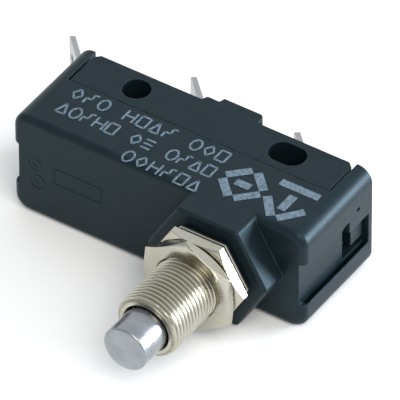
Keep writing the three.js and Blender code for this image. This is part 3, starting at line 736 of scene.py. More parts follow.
    def piece(self, name: str, material: bpy.types.Material,
              weighted: bool = True) -> bpy.types.Object:
        """Makes the finished object, in metres, with its place in its mesh.

        Args:
            name: The piece's name.
            material: Its finish.
            weighted: Whether large faces rule the shading at the edges.

        Returns:
            The object, linked to the scene.
        """
        for polygon in self.mesh.polygons:
            polygon.use_smooth = True
        self.mesh.set_sharp_from_angle(angle=SHARP)
        mesh = (self._changed("WEIGHTED_NORMAL", keep_sharp=True) if weighted else self).mesh
        marked = [float(p.material_index == 1) for p in mesh.polygons]
        mesh.attributes.new(RUB, "FLOAT", "FACE").data.foreach_set("value", marked)
        mesh.polygons.foreach_set("material_index", [0] * len(marked))
        mesh.materials.clear()
        mesh.materials.append(material)
        mesh.transform(Matrix.Scale(MM, 4))
        mesh.name = name
        return linked(name, mesh)


def settle(piece: bpy.types.Object, body: str, slot: str | None, *nodes: str) -> bpy.types.Object:
    """Puts a finished piece in the frame and reports it.

    Args:
        piece: The piece.
        body: The body that it rides on.
        slot: The record's slot that its finish comes from; not used.
        nodes: The frame nodes that it stands for.

    Returns:
        The piece.
    """
    if nodes:
        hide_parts(*nodes)
    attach(piece, body)
    piece.data.calc_loop_triangles()
    log.info("%s: %d triangles, rides on %s", piece.name, len(piece.data.loop_triangles), body)
    return piece


# ------------------------------------------------------------------ Geometry Nodes


@dataclass(frozen=True)
class Rule:
    """A Geometry Nodes tree with named inputs, and what runs it."""

    name: str
    sizes: dict[str, float]

    def start(self) -> tuple[NodeWeb, Made]:
        """Starts the tree.

        Returns:
            The empty tree, and the node that gives its inputs.
        """
        web = NodeWeb(bpy.data.node_groups.new(self.name, "GeometryNodeTree"))
        sizes = ((name, "Float") for name in self.sizes)
        for name, kind in (("Geometry", "Geometry"), *sizes, ("Finish", "Material")):
            web.tree.interface.new_socket(name, in_out="INPUT", socket_type=f"NodeSocket{kind}")
        web.tree.interface.new_socket("Geometry", in_out="OUTPUT", socket_type="NodeSocketGeometry")
        return web, web.node("NodeGroupInput")

    def run(self, web: NodeWeb, given: Made, shape: Signal, material: bpy.types.Material,
            base: bpy.types.Mesh | None = None) -> Solid:
        """Ends the tree and runs it.

        Args:
            web: The tree.
            given: The node that gives the inputs.
            shape: The geometry that the tree has made.
            material: The finish that it sets.
            base: The mesh that it starts from, where it needs one.

        Returns:
            The result, as a plain mesh.
        """
        real = web.node("GeometryNodeRealizeInstances", {}, {"Geometry": shape})[0]
        dressed = web.node("GeometryNodeSetMaterial", {}, {
            "Geometry": real, "Material": given["Finish"]})[0]
        web.node("NodeGroupOutput", {}, {0: dressed})
        work = linked("work", base or bpy.data.meshes.new("seed"))
        modifier = work.modifiers.new(self.name, "NODES")
        modifier.node_group = web.tree
        values = {**{name: float(size) for name, size in self.sizes.items()}, "Finish": material}
        for item in web.tree.interface.items_tree:
            if item.in_out == "INPUT" and item.name in values:
                modifier[item.identifier] = values[item.name]
        return Solid(baked(work))


@dataclass(frozen=True)
class HelixThread(Rule):
    """The skin of a screw thread between two places along Y, as a sleeve with two end rings."""

    samples: int = 10

    def build(self, material: bpy.types.Material) -> Solid:
        """Winds the thread from a flat grid.

        Args:
            material: Its finish.

        Returns:
            The sleeve, on an axis through the origin.
        """
        web, given = self.start()
        turns = (self.sizes["Rear"] - self.sizes["Front"]) / self.sizes["Pitch"] + 2
        rows = int(turns) * self.samples + 1
        grid = web.node("GeometryNodeMeshGrid", {}, {
            "Size X": 1.0, "Size Y": 1.0, "Vertices X": ROUND_STEPS + 1,
            "Vertices Y": rows})["Mesh"]
        spot = web.split(web.node("GeometryNodeInputPosition")[0])
        turn = ((spot["X"] + 0.5) * ROUND_STEPS).math("ROUND") / ROUND_STEPS
        row = ((spot["Y"] + 0.5) * (rows - 1)).math("ROUND") / self.samples
        wound = given["Front"] + (row - 1 + turn) * given["Pitch"]
        y = wound.held(given["Front"], given["Rear"])
        climb = 1 - (row.math("FRACT") * 2 - 1).math("ABSOLUTE")
        flat = given["Flat Share"]
        even = ((climb - flat) / (1 - flat * 2)).held()
        lift = even * even * (3 - even * 2)
        thread = given["Root Radius"] + (given["Crest Radius"] - given["Root Radius"]) * lift
        chamfer = given["End Radius"] + y - given["Front"]
        runout = given["End Radius"] + (given["Rear"] - given["Relief"] - y).most(0.0)
        radius = thread.least(chamfer).least(runout)
        angle = turn.math("FRACT") * (2 * math.pi)
        placed = web.vector(radius * angle.math("COSINE"), y, radius * angle.math("SINE"))
        skin = web.node("GeometryNodeSetPosition", {}, {"Geometry": grid, "Position": placed})[0]
        sleeve = web.node("GeometryNodeMergeByDistance", {}, {
            "Geometry": skin, "Distance": SLIVER})[0]
        return self.run(web, given, sleeve, material)


@dataclass(frozen=True)
class CoilSpring(Rule):
    """A coil of round wire on an axis along Y."""

    turn_steps: int = 40
    wire_sides: int = 12

    def build(self, material: bpy.types.Material) -> Solid:
        """Sweeps the wire along a spiral.

        Args:
            material: Its finish.

        Returns:
            The coil, with its first turn at Y = 0.
        """
        web, given = self.start()
        spiral = web.node("GeometryNodeCurveSpiral", {}, {
            "Resolution": self.turn_steps, "Rotations": given["Turns"],
            "Start Radius": given["Radius"], "End Radius": given["Radius"],
            "Height": given["Length"]})[0]
        wire = web.node("GeometryNodeCurvePrimitiveCircle", {}, {
            "Resolution": self.wire_sides, "Radius": given["Wire Radius"]})[0]
        coil = web.node("GeometryNodeCurveToMesh", {}, {
            "Curve": spiral, "Profile Curve": wire, "Fill Caps": True})[0]
        laid = web.node("GeometryNodeTransform", {}, {
            "Geometry": coil, "Rotation": (-math.pi / 2, 0.0, 0.0)})[0]
        return self.run(web, given, laid, material)


@dataclass(frozen=True)
class InkStrokes(Rule):
    """Short bars of ink, one on each point, with the point's own run, breadth and lean."""

    def build(self, strokes: Sequence[Stroke], material: bpy.types.Material) -> Solid:
        """Lays the strokes.

        Args:
            strokes: The strokes, each with its middle, run, breadth and lean.
            material: The ink.

        Returns:
            All strokes as one body.
        """
        seed = bpy.data.meshes.new("seed")
        seed.from_pydata([(s.x, s.y, 0.0) for s in strokes], [], [])
        web, given = self.start()
        own = {}
        for name in ("run", "breadth", "lean"):
            values = [getattr(stroke, name) for stroke in strokes]
            seed.attributes.new(name, "FLOAT", "POINT").data.foreach_set("value", values)
            own[name] = web.node(
                "GeometryNodeInputNamedAttribute", {"data_type": "FLOAT"}, {"Name": name})[0]
        bar = web.node("GeometryNodeMeshCube", {}, {
            "Size": web.vector(1.0, 1.0, given["Thickness"])})["Mesh"]
        points = web.node("GeometryNodeMeshToPoints", {}, {"Mesh": given["Geometry"]})[0]
        bars = web.node("GeometryNodeInstanceOnPoints", {}, {
            "Points": points, "Instance": bar, "Rotation": web.vector(0.0, 0.0, own["lean"]),
            "Scale": web.vector(own["run"], own["breadth"], 1.0)})[0]
        laid = web.node("GeometryNodeTransform", {}, {
            "Geometry": bars, "Translation": web.vector(0.0, 0.0, given["Level"])})[0]
        return self.run(web, given, laid, material, seed)


# ------------------------------------------------------------------ the switch


@dataclass(frozen=True)
class Layout:
    """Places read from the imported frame, in millimetres."""

    left: float
    right: float
    rear: float
    top: float
    boss_front: float
    rim: float
    body_end: float
    axis_x: float
    axis_z: float

    @classmethod
    def read(cls) -> Layout:
        """Reads the places from the frame's boxes.

        Returns:
            The places.
        """
        case_low, case_high = (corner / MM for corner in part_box("cover"))
        low, high = (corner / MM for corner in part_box("bushing"))
        return cls(left=case_low.x, right=case_high.x, rear=case_high.y, top=case_high.z,
                   boss_front=case_low.y, rim=low.y, body_end=high.y,
                   axis_x=(low.x + high.x) / 2, axis_z=(low.z + high.z) / 2)


@dataclass
class CoverShell:
    """Front part of the case: front wall, hexagonal boss, side plates and both end walls."""

    at: Layout
    ink: float = 0.03
    long_round: float = 2.4
    front_round: float = 1.1
    front_steps: int = 6
    end_wall: float = 2.6
    front_wall: float = 2.2
    side_wall: float = 2.0
    joint_setback: float = 10.3
    wall_end_round: float = 0.15
    boss_depth: float = 4.3
    boss_corner: float = 0.9
    corner_steps: int = 6
    boss_bevel: float = 0.5
    bevel_steps: int = 4
    body_bore: float = 11.6
    body_gap: float = 0.3
    guide_radius: float = 6.0
    guide_start: float = 1.0
    guide_bore: float = 4.2
    guide_floor: float = 1.5
    recess_depth: float = 1.0
    recess_low: float = 4.6
    recess_high: float = 12.0
    window_start: float = 11.2
    window_length: float = 5.3
    window_high: float = 10.0
    window_play: float = 0.3
    slot_start: float = 0.9
    slot_lip: float = 0.3
    slot_depth: float = 2.6
    slot_overlap: float = 0.1
    tab_opening: tuple[float, float] = (4.7, 3.75)
    edge: float = 0.14
    mark_depth: float = 0.05
    mark_stroke: float = 0.2
    frame_mark: tuple[float, float, float, float] = (7.0, 7.4, 15.2, 10.4)
    dot_marks: tuple[tuple[float, float, float], ...] = ((3.9, 9.6, 1.15), (4.3, 6.5, 1.3))
    dot_radius: float = 0.4
    nick_depth: float = 0.25
    nick: tuple[float, float, float, float] = (13.4, 12.5, 14.1, 13.1)

    @property
    def front(self) -> float:
        """The front face."""
        return self.at.boss_front + self.boss_depth

    @property
    def joint(self) -> float:
        """Where the cover meets the block."""
        return self.front + self.joint_setback

    @property
    def crown(self) -> float:
        """The upper face, a film of ink below the frame's."""
        return self.at.top - self.ink

    def form(self) -> Solid:
        """Makes the outer form, rounded along its length and round the front face.

        Returns:
            The form, without its boss.
        """
        outline = rounded_box_outline(self.at.left, 0, self.at.right, self.crown, self.long_round)
        plain = Solid.extruded(outline, Axis.Y, self.front, self.at.rear)
        return plain.front_rounded(self.front, self.front_round, self.front_steps)

    def boss(self) -> Solid:
        """Makes the boss, flush with both sides of the case.

        Returns:
            The boss, without its bores.
        """
        at, r = self.at, self.boss_corner
        reach = (self.crown - at.axis_z - r) / math.cos(math.pi / 6)
        outline: Outline = []
        for degrees in range(0, 360, 60):
            a = math.radians(degrees)
            outline += arc(at.axis_x + reach * math.cos(a), at.axis_z + reach * math.sin(a), r,
                           degrees - 30, degrees + 30, self.corner_steps)
        whole = Solid.extruded(outline, Axis.Y, at.boss_front, self.front + self.front_wall)
        return whole.front_rounded(at.boss_front, self.boss_bevel, self.bevel_steps)

    def opening(self) -> Solid:
        """Makes the tool for what is open behind the joint, with the wall ends rounded.

        Returns:
            The tool.
        """
        at, r = self.at, self.wall_end_round
        inner = at.right - self.end_wall
        corner = [(-x, y) for x, y in arc(-inner - r, at.rear - r, r, 0, 90)]
        right = [(inner, self.joint), *corner, (inner + r, at.rear + PAST)]
        left = [(-x, y) for x, y in reversed(right)]
        return Solid.extruded([*right, *left], Axis.Z, -PAST, at.top + PAST)

    def end_cuts(self, side: Side) -> list[Solid]:
        """Makes the tools for one end wall.

        Args:
            side: Which end.

        Returns:
            The recess and the slot behind its lip.
        """
        s, right = side.value, self.at.right
        back = self.front + self.window_start
        face, lip = s * (right - self.recess_depth), s * (right - self.slot_lip)
        far = s * (right + PAST)
        recess = Solid.box((min(face, far), self.front - PAST, self.recess_low),
                           (max(face, far), back + self.window_play, self.recess_high))
        low, high = self.recess_low - self.slot_depth, self.recess_low + self.slot_overlap
        slot = Solid.box((min(face, lip), self.front + self.slot_start, low),
                         (max(face, lip), back + self.window_length, high))
        return [recess, slot]

    def window(self) -> Solid:
        """Makes the tool for the window in the right end wall.

        Returns:
            The tool.
        """
        start = self.front + self.window_start
        return Solid.box((self.at.right - self.end_wall - PAST, start, self.recess_low),
                         (self.at.right + PAST, start + self.window_length, self.window_high))

    def marks(self) -> list[Solid]:
        """Makes the tools for plain marks: a frame, two ringed dots and a nick in the right end.

        Returns:
            The tools.
        """
        left, right, w = self.at.left, self.at.right, self.mark_stroke
        ahead, deep = self.front - PAST, self.front + self.mark_depth
        x0, z0, x1, z1 = self.frame_mark
        x0, x1 = left + x0, left + x1
        bars = ((x0, z0, x1, z0 + w), (x0, z1 - w, x1, z1),
                (x0, z0, x0 + w, z1), (x1 - w, z0, x1, z1))
        tools = [Solid.box((a, ahead, b), (c, deep, d)) for a, b, c, d in bars]
        for x, z, r in self.dot_marks:
            for inner, outer in ((r - w, r), (0.0, self.dot_radius)):
                ring = [(inner, ahead), (outer, ahead), (outer, deep), (inner, deep)]
                tools.append(Solid.turned(ring, left + x, z))
        y0, z0, y1, z1 = self.nick
        nick = Solid.box((right - self.nick_depth, self.front + y0, z0),
                         (right + PAST, self.front + y1, z1))
        return [*tools, nick]

    def rod(self, radius: float, start: float, end: float) -> Solid:
        """Returns a plain rod on the plunger's axis."""
        profile = [(0, start), (radius, start), (radius, end), (0, end)]
        return Solid.turned(profile, self.at.axis_x, self.at.axis_z)

    def build(self, material: bpy.types.Material) -> bpy.types.Object:
        """Builds and dresses the cover.

        Args:
            material: Its finish.

        Returns:
            The settled piece.
        """
        at = self.at
        inner = at.right - self.end_wall
        cavity = Solid.box((-inner, self.front + self.front_wall, self.side_wall),
                           (inner, at.rear + PAST, self.crown - self.side_wall))
        bed = at.body_end + self.body_gap
        floor = bed + self.guide_floor
        start, half = self.tab_opening
        exit_way = Solid.box((at.left - PAST, start, at.axis_z - half),
                             (at.left + self.end_wall + PAST, at.rear + PAST, at.axis_z + half))
        body = self.form().joined(self.boss()).cut(cavity, self.opening())
        body = body.joined(self.rod(self.guide_radius, self.front + self.guide_start, floor))
        body = body.cut(self.rod(self.body_bore / 2, at.boss_front - PAST, bed),
                        self.rod(self.guide_bore / 2, bed - PAST, floor + PAST),
                        *self.end_cuts(Side.LEFT), *self.end_cuts(Side.RIGHT),
                        self.window(), exit_way)
        body = body.softened(self.edge).faceted().cut(*self.marks()).sealed()
        return settle(body.piece("cover_shell", material), "case", "case_plastic", "cover")


@dataclass
class TerminalBlock:
    """Rear part of the case: it carries the tabs and the two mounting holes."""

    at: Layout
    cover: CoverShell
    rear_inset: float = 0.35
    corner_chamfer: float = 0.8
    joint_gap: float = 0.07
    left_gap: float = 0.32
    right_gap: float = 0.2
    hole_pitch: float = 25.4
    hole_width: float = 4.2
    slot_length: float = 5.8
    hole_setback: float = 13.78
    hole_steps: int = 24
    step_points: tuple[tuple[float, float], ...] = (
        (-4.1, 0.0), (-3.55, 1.1), (-1.575, 1.1), (-1.3, 2.0))
    step_end: float = 5.5
    step_high: float = 2.0
    step_round: float = 0.8
    step_inset: float = 0.2
    spigot_setback: float = 9.15
    spigot_gap: float = 0.3
    strips: tuple[tuple[float, float], ...] = ((-21.12, 14.5), (-1.15, 16.0), (17.3, 14.4))
    tab_half_width: float = 3.15
    tab_half_thickness: float = 0.4
    tab_clearance: float = 0.12
    tab_run: float = 12.0
    latch_low: float = 6.0
    latch_height: float = 3.4
    latch_length: float = 3.0
    latch_root: float = 0.6
    latch_reach: float = 1.7
    edge: float = 0.1

    @property
    def rear(self) -> float:
        """The rear face."""
        return self.at.rear - self.rear_inset

    def step(self) -> Solid:
        """Makes the step on the rear face, beside the middle tab.

        Returns:
            The step.
        """
        r, end = self.step_round, self.step_end
        outline = [(self.step_points[0][0], self.rear - PAST),
                   *[(x, self.rear + y) for x, y in self.step_points],
                   *reversed(arc(end - r, self.rear + self.step_high - r, r, 0, 90)),
                   (end, self.rear - PAST)]
        return Solid.extruded(outline, Axis.Z, self.step_inset, self.cover.crown - self.step_inset)

    def hole(self, x: float, length: float) -> Solid:
        """Makes the tool for a mounting hole, round or drawn out along X.

        Args:
            x: The hole's middle.
            length: Its length along X.

        Returns:
            The tool.
        """
        r, y = self.hole_width / 2, self.cover.front + self.hole_setback
        half = length / 2 - r
        ends = [*arc(x + half, y, r, -90, 90, self.hole_steps),
                *arc(x - half, y, r, 90, 270, self.hole_steps)]
        snapped = dict.fromkeys((round(a, SNAP_DIGITS), round(b, SNAP_DIGITS)) for a, b in ends)
        return Solid.extruded(list(snapped), Axis.Z, -PAST, self.at.top + PAST)

    def tab_slot(self, x: float, setback: float) -> Solid:
        """Makes the tool for one tab's way through the block, straight and then at 45 degrees.

        Args:
            x: Where the tab's strip stands.
            setback: How far behind the front face it bends.

        Returns:
            The tool.
        """
        h, y = self.tab_half_thickness + self.tab_clearance, self.cover.front + setback
        k, lean = h * math.tan(math.pi / 8), math.sqrt(0.5)
        end_x, end_y = x - self.tab_run * lean, y + self.tab_run * lean
        start = self.cover.joint - 2 * PAST
        outline = [(x - h, start), (x + h, start), (x + h, y + k),
                   (end_x + h * lean, end_y + h * lean), (end_x - h * lean, end_y - h * lean),
                   (x - h, y - k)]
        half = self.tab_half_width + self.tab_clearance
        return Solid.extruded(outline, Axis.Z, self.at.axis_z - half, self.at.axis_z + half)

    def build(self, material: bpy.types.Material) -> bpy.types.Object:
        """Builds and dresses the block.

        Args:
            material: Its finish.

        Returns:
            The settled piece.
        """
        at, cover, c = self.at, self.cover, self.corner_chamfer
        wall = at.right - cover.end_wall
        left, right = at.left + cover.end_wall + self.left_gap, wall - self.right_gap
        front = cover.joint + self.joint_gap
        outline = [(left, front), (right, front), (right, self.rear - c), (right - c, self.rear),
                   (left + c, self.rear), (left, self.rear - c)]
        body = Solid.extruded(outline, Axis.Z, 0.0, cover.crown)
        inset = cover.side_wall + self.spigot_gap
        spigot = Solid.box((left, cover.front + self.spigot_setback, inset),
                           (right, front + PAST, cover.crown - inset))
        end = cover.front + cover.window_start + cover.window_length - cover.window_play
        latch = Solid.box((wall - self.latch_root, end - self.latch_length, self.latch_low),
                          (wall + self.latch_reach, end, self.latch_low + self.latch_height))
        body = body.joined(spigot, self.step(), latch)
        body = body.cut(*(self.tab_slot(x, y) for x, y in self.strips),
                        self.hole(-self.hole_pitch / 2, self.hole_width),
                        self.hole(self.hole_pitch / 2, self.slot_length))
        made = body.softened(self.edge).piece("terminal_block_shell", material)
        return settle(made, "case", "case_plastic", "terminal_block")


@dataclass(frozen=True)
class Stroke:
    """One bar of ink: its middle, run, breadth and lean."""

    x: float
    y: float
    run: float
    breadth: float
    lean: float


class Sign(Enum):
    """Plain signs for the rows of print, as lines in a cell one wide and one high."""

    FRAME = ((0, 0, 1, 0), (1, 0, 1, 1), (1, 1, 0, 1), (0, 1, 0, 0))
    RING = ((0.3, 0, 0.7, 0), (0.7, 0, 1, 0.3), (1, 0.3, 1, 0.7), (1, 0.7, 0.7, 1),
            (0.7, 1, 0.3, 1), (0.3, 1, 0, 0.7), (0, 0.7, 0, 0.3), (0, 0.3, 0.3, 0))
    PEAK = ((0, 0, 0.5, 1), (0.5, 1, 1, 0), (1, 0, 0, 0))
    STAIR = ((0, 0, 0, 0.5), (0, 0.5, 0.55, 0.5), (0.55, 0.5, 0.55, 1), (0.55, 1, 1, 1))
    GATE = ((0, 0, 0, 1), (1, 0, 1, 1), (0.1, 0.5, 0.9, 0.5))
    BARS = ((0, 0.1, 1, 0.1), (0, 0.5, 1, 0.5), (0, 0.9, 1, 0.9))
    KITE = ((0.5, 0, 1, 0.5), (1, 0.5, 0.5, 1), (0.5, 1, 0, 0.5), (0, 0.5, 0.5, 0))


@dataclass
class PrintedSide:
    """Print on the upper face: rows of plain signs, and a bold kite and arrow without a meaning.

    Places count from the left end and from the front face.
    """

    at: Layout
    cover: CoverShell
    film: float = 0.01
    cell: tuple[float, float] = (1.5, 2.2)
    stroke: float = 0.32
    bold: float = 1.3
    rows: tuple[tuple[float, float, float, str], ...] = (
        (4.9, 8.3, 2.22, "KSR.GFPS.RKF"), (4.9, 4.7, 2.04, "PRSGF.KB.RSPF"),
        (18.3, 1.1, 2.22, "RKGSFP"))
    kite: tuple[float, float] = (35.7, 4.9)
    kite_reach: float = 3.6
    kite_gap: float = 0.64
    kite_bar: float = 1.2
    arrow: tuple[float, float] = (43.0, 4.9)
    arrow_lines: tuple[tuple[float, float, float, float], ...] = (
        (-3.1, -0.2, -0.5, -3.4), (3.1, -0.2, 0.5, -3.4),
        (0.0, -1.6, 0.0, 1.8), (-3.2, 3.4, 3.2, 3.4))

    def line(self, a: Sequence[float], b: Sequence[float], breadth: float) -> Stroke:
        """Returns the stroke from one point to another."""
        dx, dy = b[0] - a[0], b[1] - a[1]
        return Stroke((a[0] + b[0]) / 2, (a[1] + b[1]) / 2, math.hypot(dx, dy), breadth,
                      math.atan2(dy, dx))

    def signs(self) -> list[Stroke]:
        """Sets the rows. A full stop in a row leaves a space.

        Returns:
            The strokes.
        """
        letters = {sign.name[0]: sign.value for sign in Sign}
        width, height = self.cell
        strokes = []
        for start, level, pitch, row in self.rows:
            y = self.cover.front + level - height / 2
            for k, key in enumerate(row):
                x = self.at.left + start + k * pitch
                for x0, y0, x1, y1 in letters.get(key, ()):
                    strokes.append(self.line((x + x0 * width, y + y0 * height),
                                             (x + x1 * width, y + y1 * height), self.stroke))
        return strokes

    def pictograms(self) -> list[Stroke]:
        """Draws a bold kite, and a bold arrow with its bar.

        Returns:
            The strokes.
        """
        left, front, r = self.at.left, self.cover.front, self.kite_reach
        x, y = left + self.kite[0], front + self.kite[1]
        corners = [Vector(corner) for corner in ((x, y - r), (x + r, y), (x, y + r), (x - r, y))]
        strokes = []
        for one, two in zip(corners, corners[1:] + corners[:1]):
            along = (two - one).normalized() * self.kite_gap
            strokes.append(self.line(one + along, two - along, self.bold))
        strokes.append(self.line((x - self.kite_bar, y), (x + self.kite_bar, y), self.bold))
        x, y = left + self.arrow[0], front + self.arrow[1]
        return strokes + [self.line((x + x0, y + y0), (x + x1, y + y1), self.bold)
                          for x0, y0, x1, y1 in self.arrow_lines]

    def build(self, material: bpy.types.Material) -> bpy.types.Object:
        """Builds and dresses the print.

        Args:
            material: The ink.

        Returns:
            The settled piece.
        """
        thick = self.cover.ink + self.film
        rule = InkStrokes("ink_strokes", {"Thickness": thick, "Level": self.at.top - thick / 2})
        ink = rule.build([*self.signs(), *self.pictograms()], material)
        return settle(ink.piece("side_print", material, weighted=False), "case", None)


@dataclass
class Bushing:
    """Threaded bushing: collar, helical thread, stepped bore and the body in the boss."""

    at: Layout
    crest: float = 5.0
    root: float = 4.6
    pitch: float = 0.75
    flat_share: float = 0.2
    end_radius: float = 4.5
    relief: float = 0.8
    bore: float = 3.7
    counterbore: float = 4.7
    step_setback: float = 1.0
    body: float = 5.5
    body_chamfer: float = 0.3
    collar_flats: float = 13.0
    collar_gap: float = 0.3
    collar_thickness: float = 0.6
    chamfer: float = 0.15

    def build(self, material: bpy.types.Material) -> bpy.types.Object:
        """Builds and dresses the bushing, sewn from its thread and from the rest of its skin.

        Args:
            material: Its finish.

        Returns:
            The settled piece.
        """
        at, c, blunt = self.at, self.chamfer, self.body_chamfer
        rear = at.boss_front - self.collar_gap
        front = rear - self.collar_thickness
        step = at.boss_front - self.step_setback
        thread = HelixThread("helix_thread", {
            "Front": at.rim, "Rear": front, "Pitch": self.pitch, "Root Radius": self.root,
            "Crest Radius": self.crest, "End Radius": self.end_radius, "Relief": self.relief,
            "Flat Share": self.flat_share}).build(material)
        plain = [(self.end_radius, at.rim), (self.bore + c, at.rim), (self.bore, at.rim + c),
                 (self.bore, step), (self.counterbore, step), (self.counterbore, at.body_end),
                 (self.body - blunt, at.body_end), (self.body, at.body_end - blunt),
                 (self.body, rear)]
        rings: list[Ring] = [lambda _, p=p: p for p in plain]
        for inset, y in ((c, rear), (0.0, rear - c), (0.0, front + c), (c, front)):
            rings.append(lambda a, i=inset, y=y: (hexagon_reach(self.collar_flats, a) - i, y))
        rings.append(lambda _: (self.end_radius, front))
        rest = Solid.ringed(rings, 0.0, 0.0, closed=False)
        bm = bmesh.new()
        for skin in (thread, rest):
            bm.from_mesh(skin.mesh)
            bpy.data.meshes.remove(skin.mesh)
        bmesh.ops.dissolve_degenerate(bm, dist=FRESH, edges=bm.edges)
        bmesh.ops.translate(bm, vec=(at.axis_x, 0, at.axis_z), verts=bm.verts)
        bmesh.ops.remove_doubles(bm, verts=bm.verts, dist=MET)
        made = Solid.of(bm).piece("threaded_bushing", material, weighted=False)
        return settle(made, "case", "nickel_plate", "bushing")


@dataclass
class LockNut:
    """Thin hexagonal lock nut, chamfered on its front face or on both."""

    at: Layout
    node: str
    body: str
    flats: float = 14.0
    bore: float = 5.03
    lead_in: float = 0.12
    face_inset: float = 0.1
    edge: float = 0.05
    rear_chamfered: bool = True

    def corner_turn(self) -> float:
        """Finds how the frame's nut stands.

        Returns:
            The angle of one corner.
        """
        spots = [(v.co.x / MM - self.at.axis_x, v.co.z / MM - self.at.axis_z)
                 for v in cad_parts[self.node].data.vertices]
        x, z = max(spots, key=lambda s: s[0] ** 2 + s[1] ** 2)
        return math.atan2(z, x) % (math.pi / 3)

    def build(self, material: bpy.types.Material) -> bpy.types.Object:
        """Builds and dresses the nut.

        Args:
            material: Its finish.

        Returns:
            The settled piece.
        """
        low, high = (corner.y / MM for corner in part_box(self.node))
        face, bore, lead = self.flats / 2 - self.face_inset, self.bore, self.lead_in
        slope = math.tan(math.pi / 6)

        def reach(angle: float) -> float:
            """Returns the nut's outline."""
            return hexagon_reach(self.flats, angle)

        def drop(angle: float) -> float:
            """Returns how far the chamfer comes down the flat."""
            return (reach(angle) - face) * slope

        rings: list[Ring] = [lambda _: (bore, low + lead), lambda _: (bore + lead, low),
                             lambda _: (face, low), lambda a: (reach(a), low + drop(a))]
        if self.rear_chamfered:
            rings += [lambda a: (reach(a), high - drop(a)), lambda _: (face, high)]
        else:
            rings.append(lambda a: (reach(a), high))
        rings += [lambda _: (bore + lead, high), lambda _: (bore, high - lead)]
        body = Solid.ringed(rings, 0.0, 0.0).softened(self.edge)
        place = Matrix.Translation((self.at.axis_x, 0, self.at.axis_z))
        body.mesh.transform(place @ Matrix.Rotation(-self.corner_turn(), 4, "Y"))
        made = body.piece(f"{self.node}_hex", material)
        return settle(made, self.body, "nickel_plate", self.node)


@dataclass
class Plunger:
    """Domed plunger, open at the rear for the spring and grooved for its ring."""

    at: Layout
    radius: float = 3.5
    dome: float = 0.6
    dome_steps: int = 14
    edge_round: float = 0.3
    edge_angles: tuple[float, ...] = (30, 55, 75, 90)
    bore: float = 2.5
    cup: float = 9.0
    cup_cone: float = 1.0
    mouth_chamfer: float = 0.2
    groove: float = 3.05
    ring_setback: float = 0.8
    ring_width: float = 0.7

    def build(self, material: bpy.types.Material) -> bpy.types.Object:
        """Builds and dresses the plunger.

        Args:
            material: Its finish.

        Returns:
            The settled piece.
        """
        low, high = (corner.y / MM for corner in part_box("plunger"))
        r, e, c = self.radius, self.edge_round, self.mouth_chamfer
        sphere = (r * r + self.dome * self.dome) / (2 * self.dome)
        last = math.asin((r - e) / sphere)
        leans = [last * k / self.dome_steps for k in range(self.dome_steps + 1)]
        profile = [(sphere * math.sin(lean), low + sphere * (1 - math.cos(lean))) for lean in leans]
        side = profile[-1][1] + e
        profile += [(r - e + e * math.sin(a), side - e * math.cos(a))
                    for a in map(math.radians, self.edge_angles)]
        ring = self.at.boss_front - self.ring_setback
        ring_end, cup = ring + self.ring_width, high - self.cup
        profile += [(r, ring), (self.groove, ring), (self.groove, ring_end), (r, ring_end),
                    (r, high - c), (r - c, high), (self.bore + c, high), (self.bore, high - c),
                    (self.bore, cup), (0.0, cup - self.cup_cone)]
        body = Solid.turned(profile, self.at.axis_x, self.at.axis_z, closed=False)
        made = body.piece("domed_plunger", material)
        return settle(made, "plunger_body", "stainless_steel", "plunger")


@dataclass
class OvertravelSpring:
    """Coil spring in the plunger's cup."""

    at: Layout
    radius: float = 1.9
    wire: float = 0.25
    turns: float = 9.0
    stroke: float = 3.6

    def build(self, material: bpy.types.Material) -> bpy.types.Object:
        """Builds and dresses the spring.

        Args:
            material: Its finish.

        Returns:
            The settled piece.
        """
        low, high = (corner.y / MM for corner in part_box("overtravel_spring"))
        whole, x, z = high - low, self.at.axis_x, self.at.axis_z
        coil = CoilSpring("coil_spring", {
            "Turns": self.turns, "Radius": self.radius - self.wire, "Wire Radius": self.wire,
            "Length": whole - 2 * self.wire}).build(material)
        coil.mesh.transform(Matrix.Translation((x, low + self.wire, z)))
        made = coil.piece("coil_spring", material, weighted=False)
        settle(made, "button_body", "spring_steel", "overtravel_spring")
        (whole - self.stroke) / whole
        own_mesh(made)
        return made


@dataclass
class PushOnTab:
    """Angled push-on tab with its strip and foot in the case, edges broken."""

    node: str
    edge: float = 0.07

    def build(self, material: bpy.types.Material) -> bpy.types.Object:
        """Builds and dresses the tab."""
        body = Solid.copied(self.node).softened(self.edge)
        return settle(body.piece(f"{self.node}_tab", material), "case", "tinned_brass", self.node)


@dataclass
class InnerWorks:
    """The parts inside the case, whose frame shapes stay and get their own finishes."""

    dress: dict[str, bpy.types.Material]

    def build(self) -> None:
        """Dresses each part."""
        for node, material in self.dress.items():
            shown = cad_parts[node]
            shown.data.materials.clear()
            shown.data.materials.append(material)
            log.info("%s: frame shape, finish %s", node, material.name)


# ------------------------------------------------------------------ stage


@dataclass(frozen=True)
class SoftBox:
    """A soft rectangular light that faces a target."""

    name: str
    place: tuple[float, float, float]
    target: tuple[float, float, float]
    size: tuple[float, float]
    power: float
    tint: Colour

    def build(self) -> None:
        """Makes the light."""
        data = bpy.data.lights.new(self.name, "AREA")
        data.shape, data.size, data.size_y = "RECTANGLE", *self.size
        data.energy, data.color = self.power, self.tint
        made = linked(self.name, data)
        turn = (Vector(self.target) - Vector(self.place)).to_track_quat("-Z", "Y")
        made.matrix_world = Matrix.Translation(self.place) @ turn.to_matrix().to_4x4()
        made.visible_camera = False


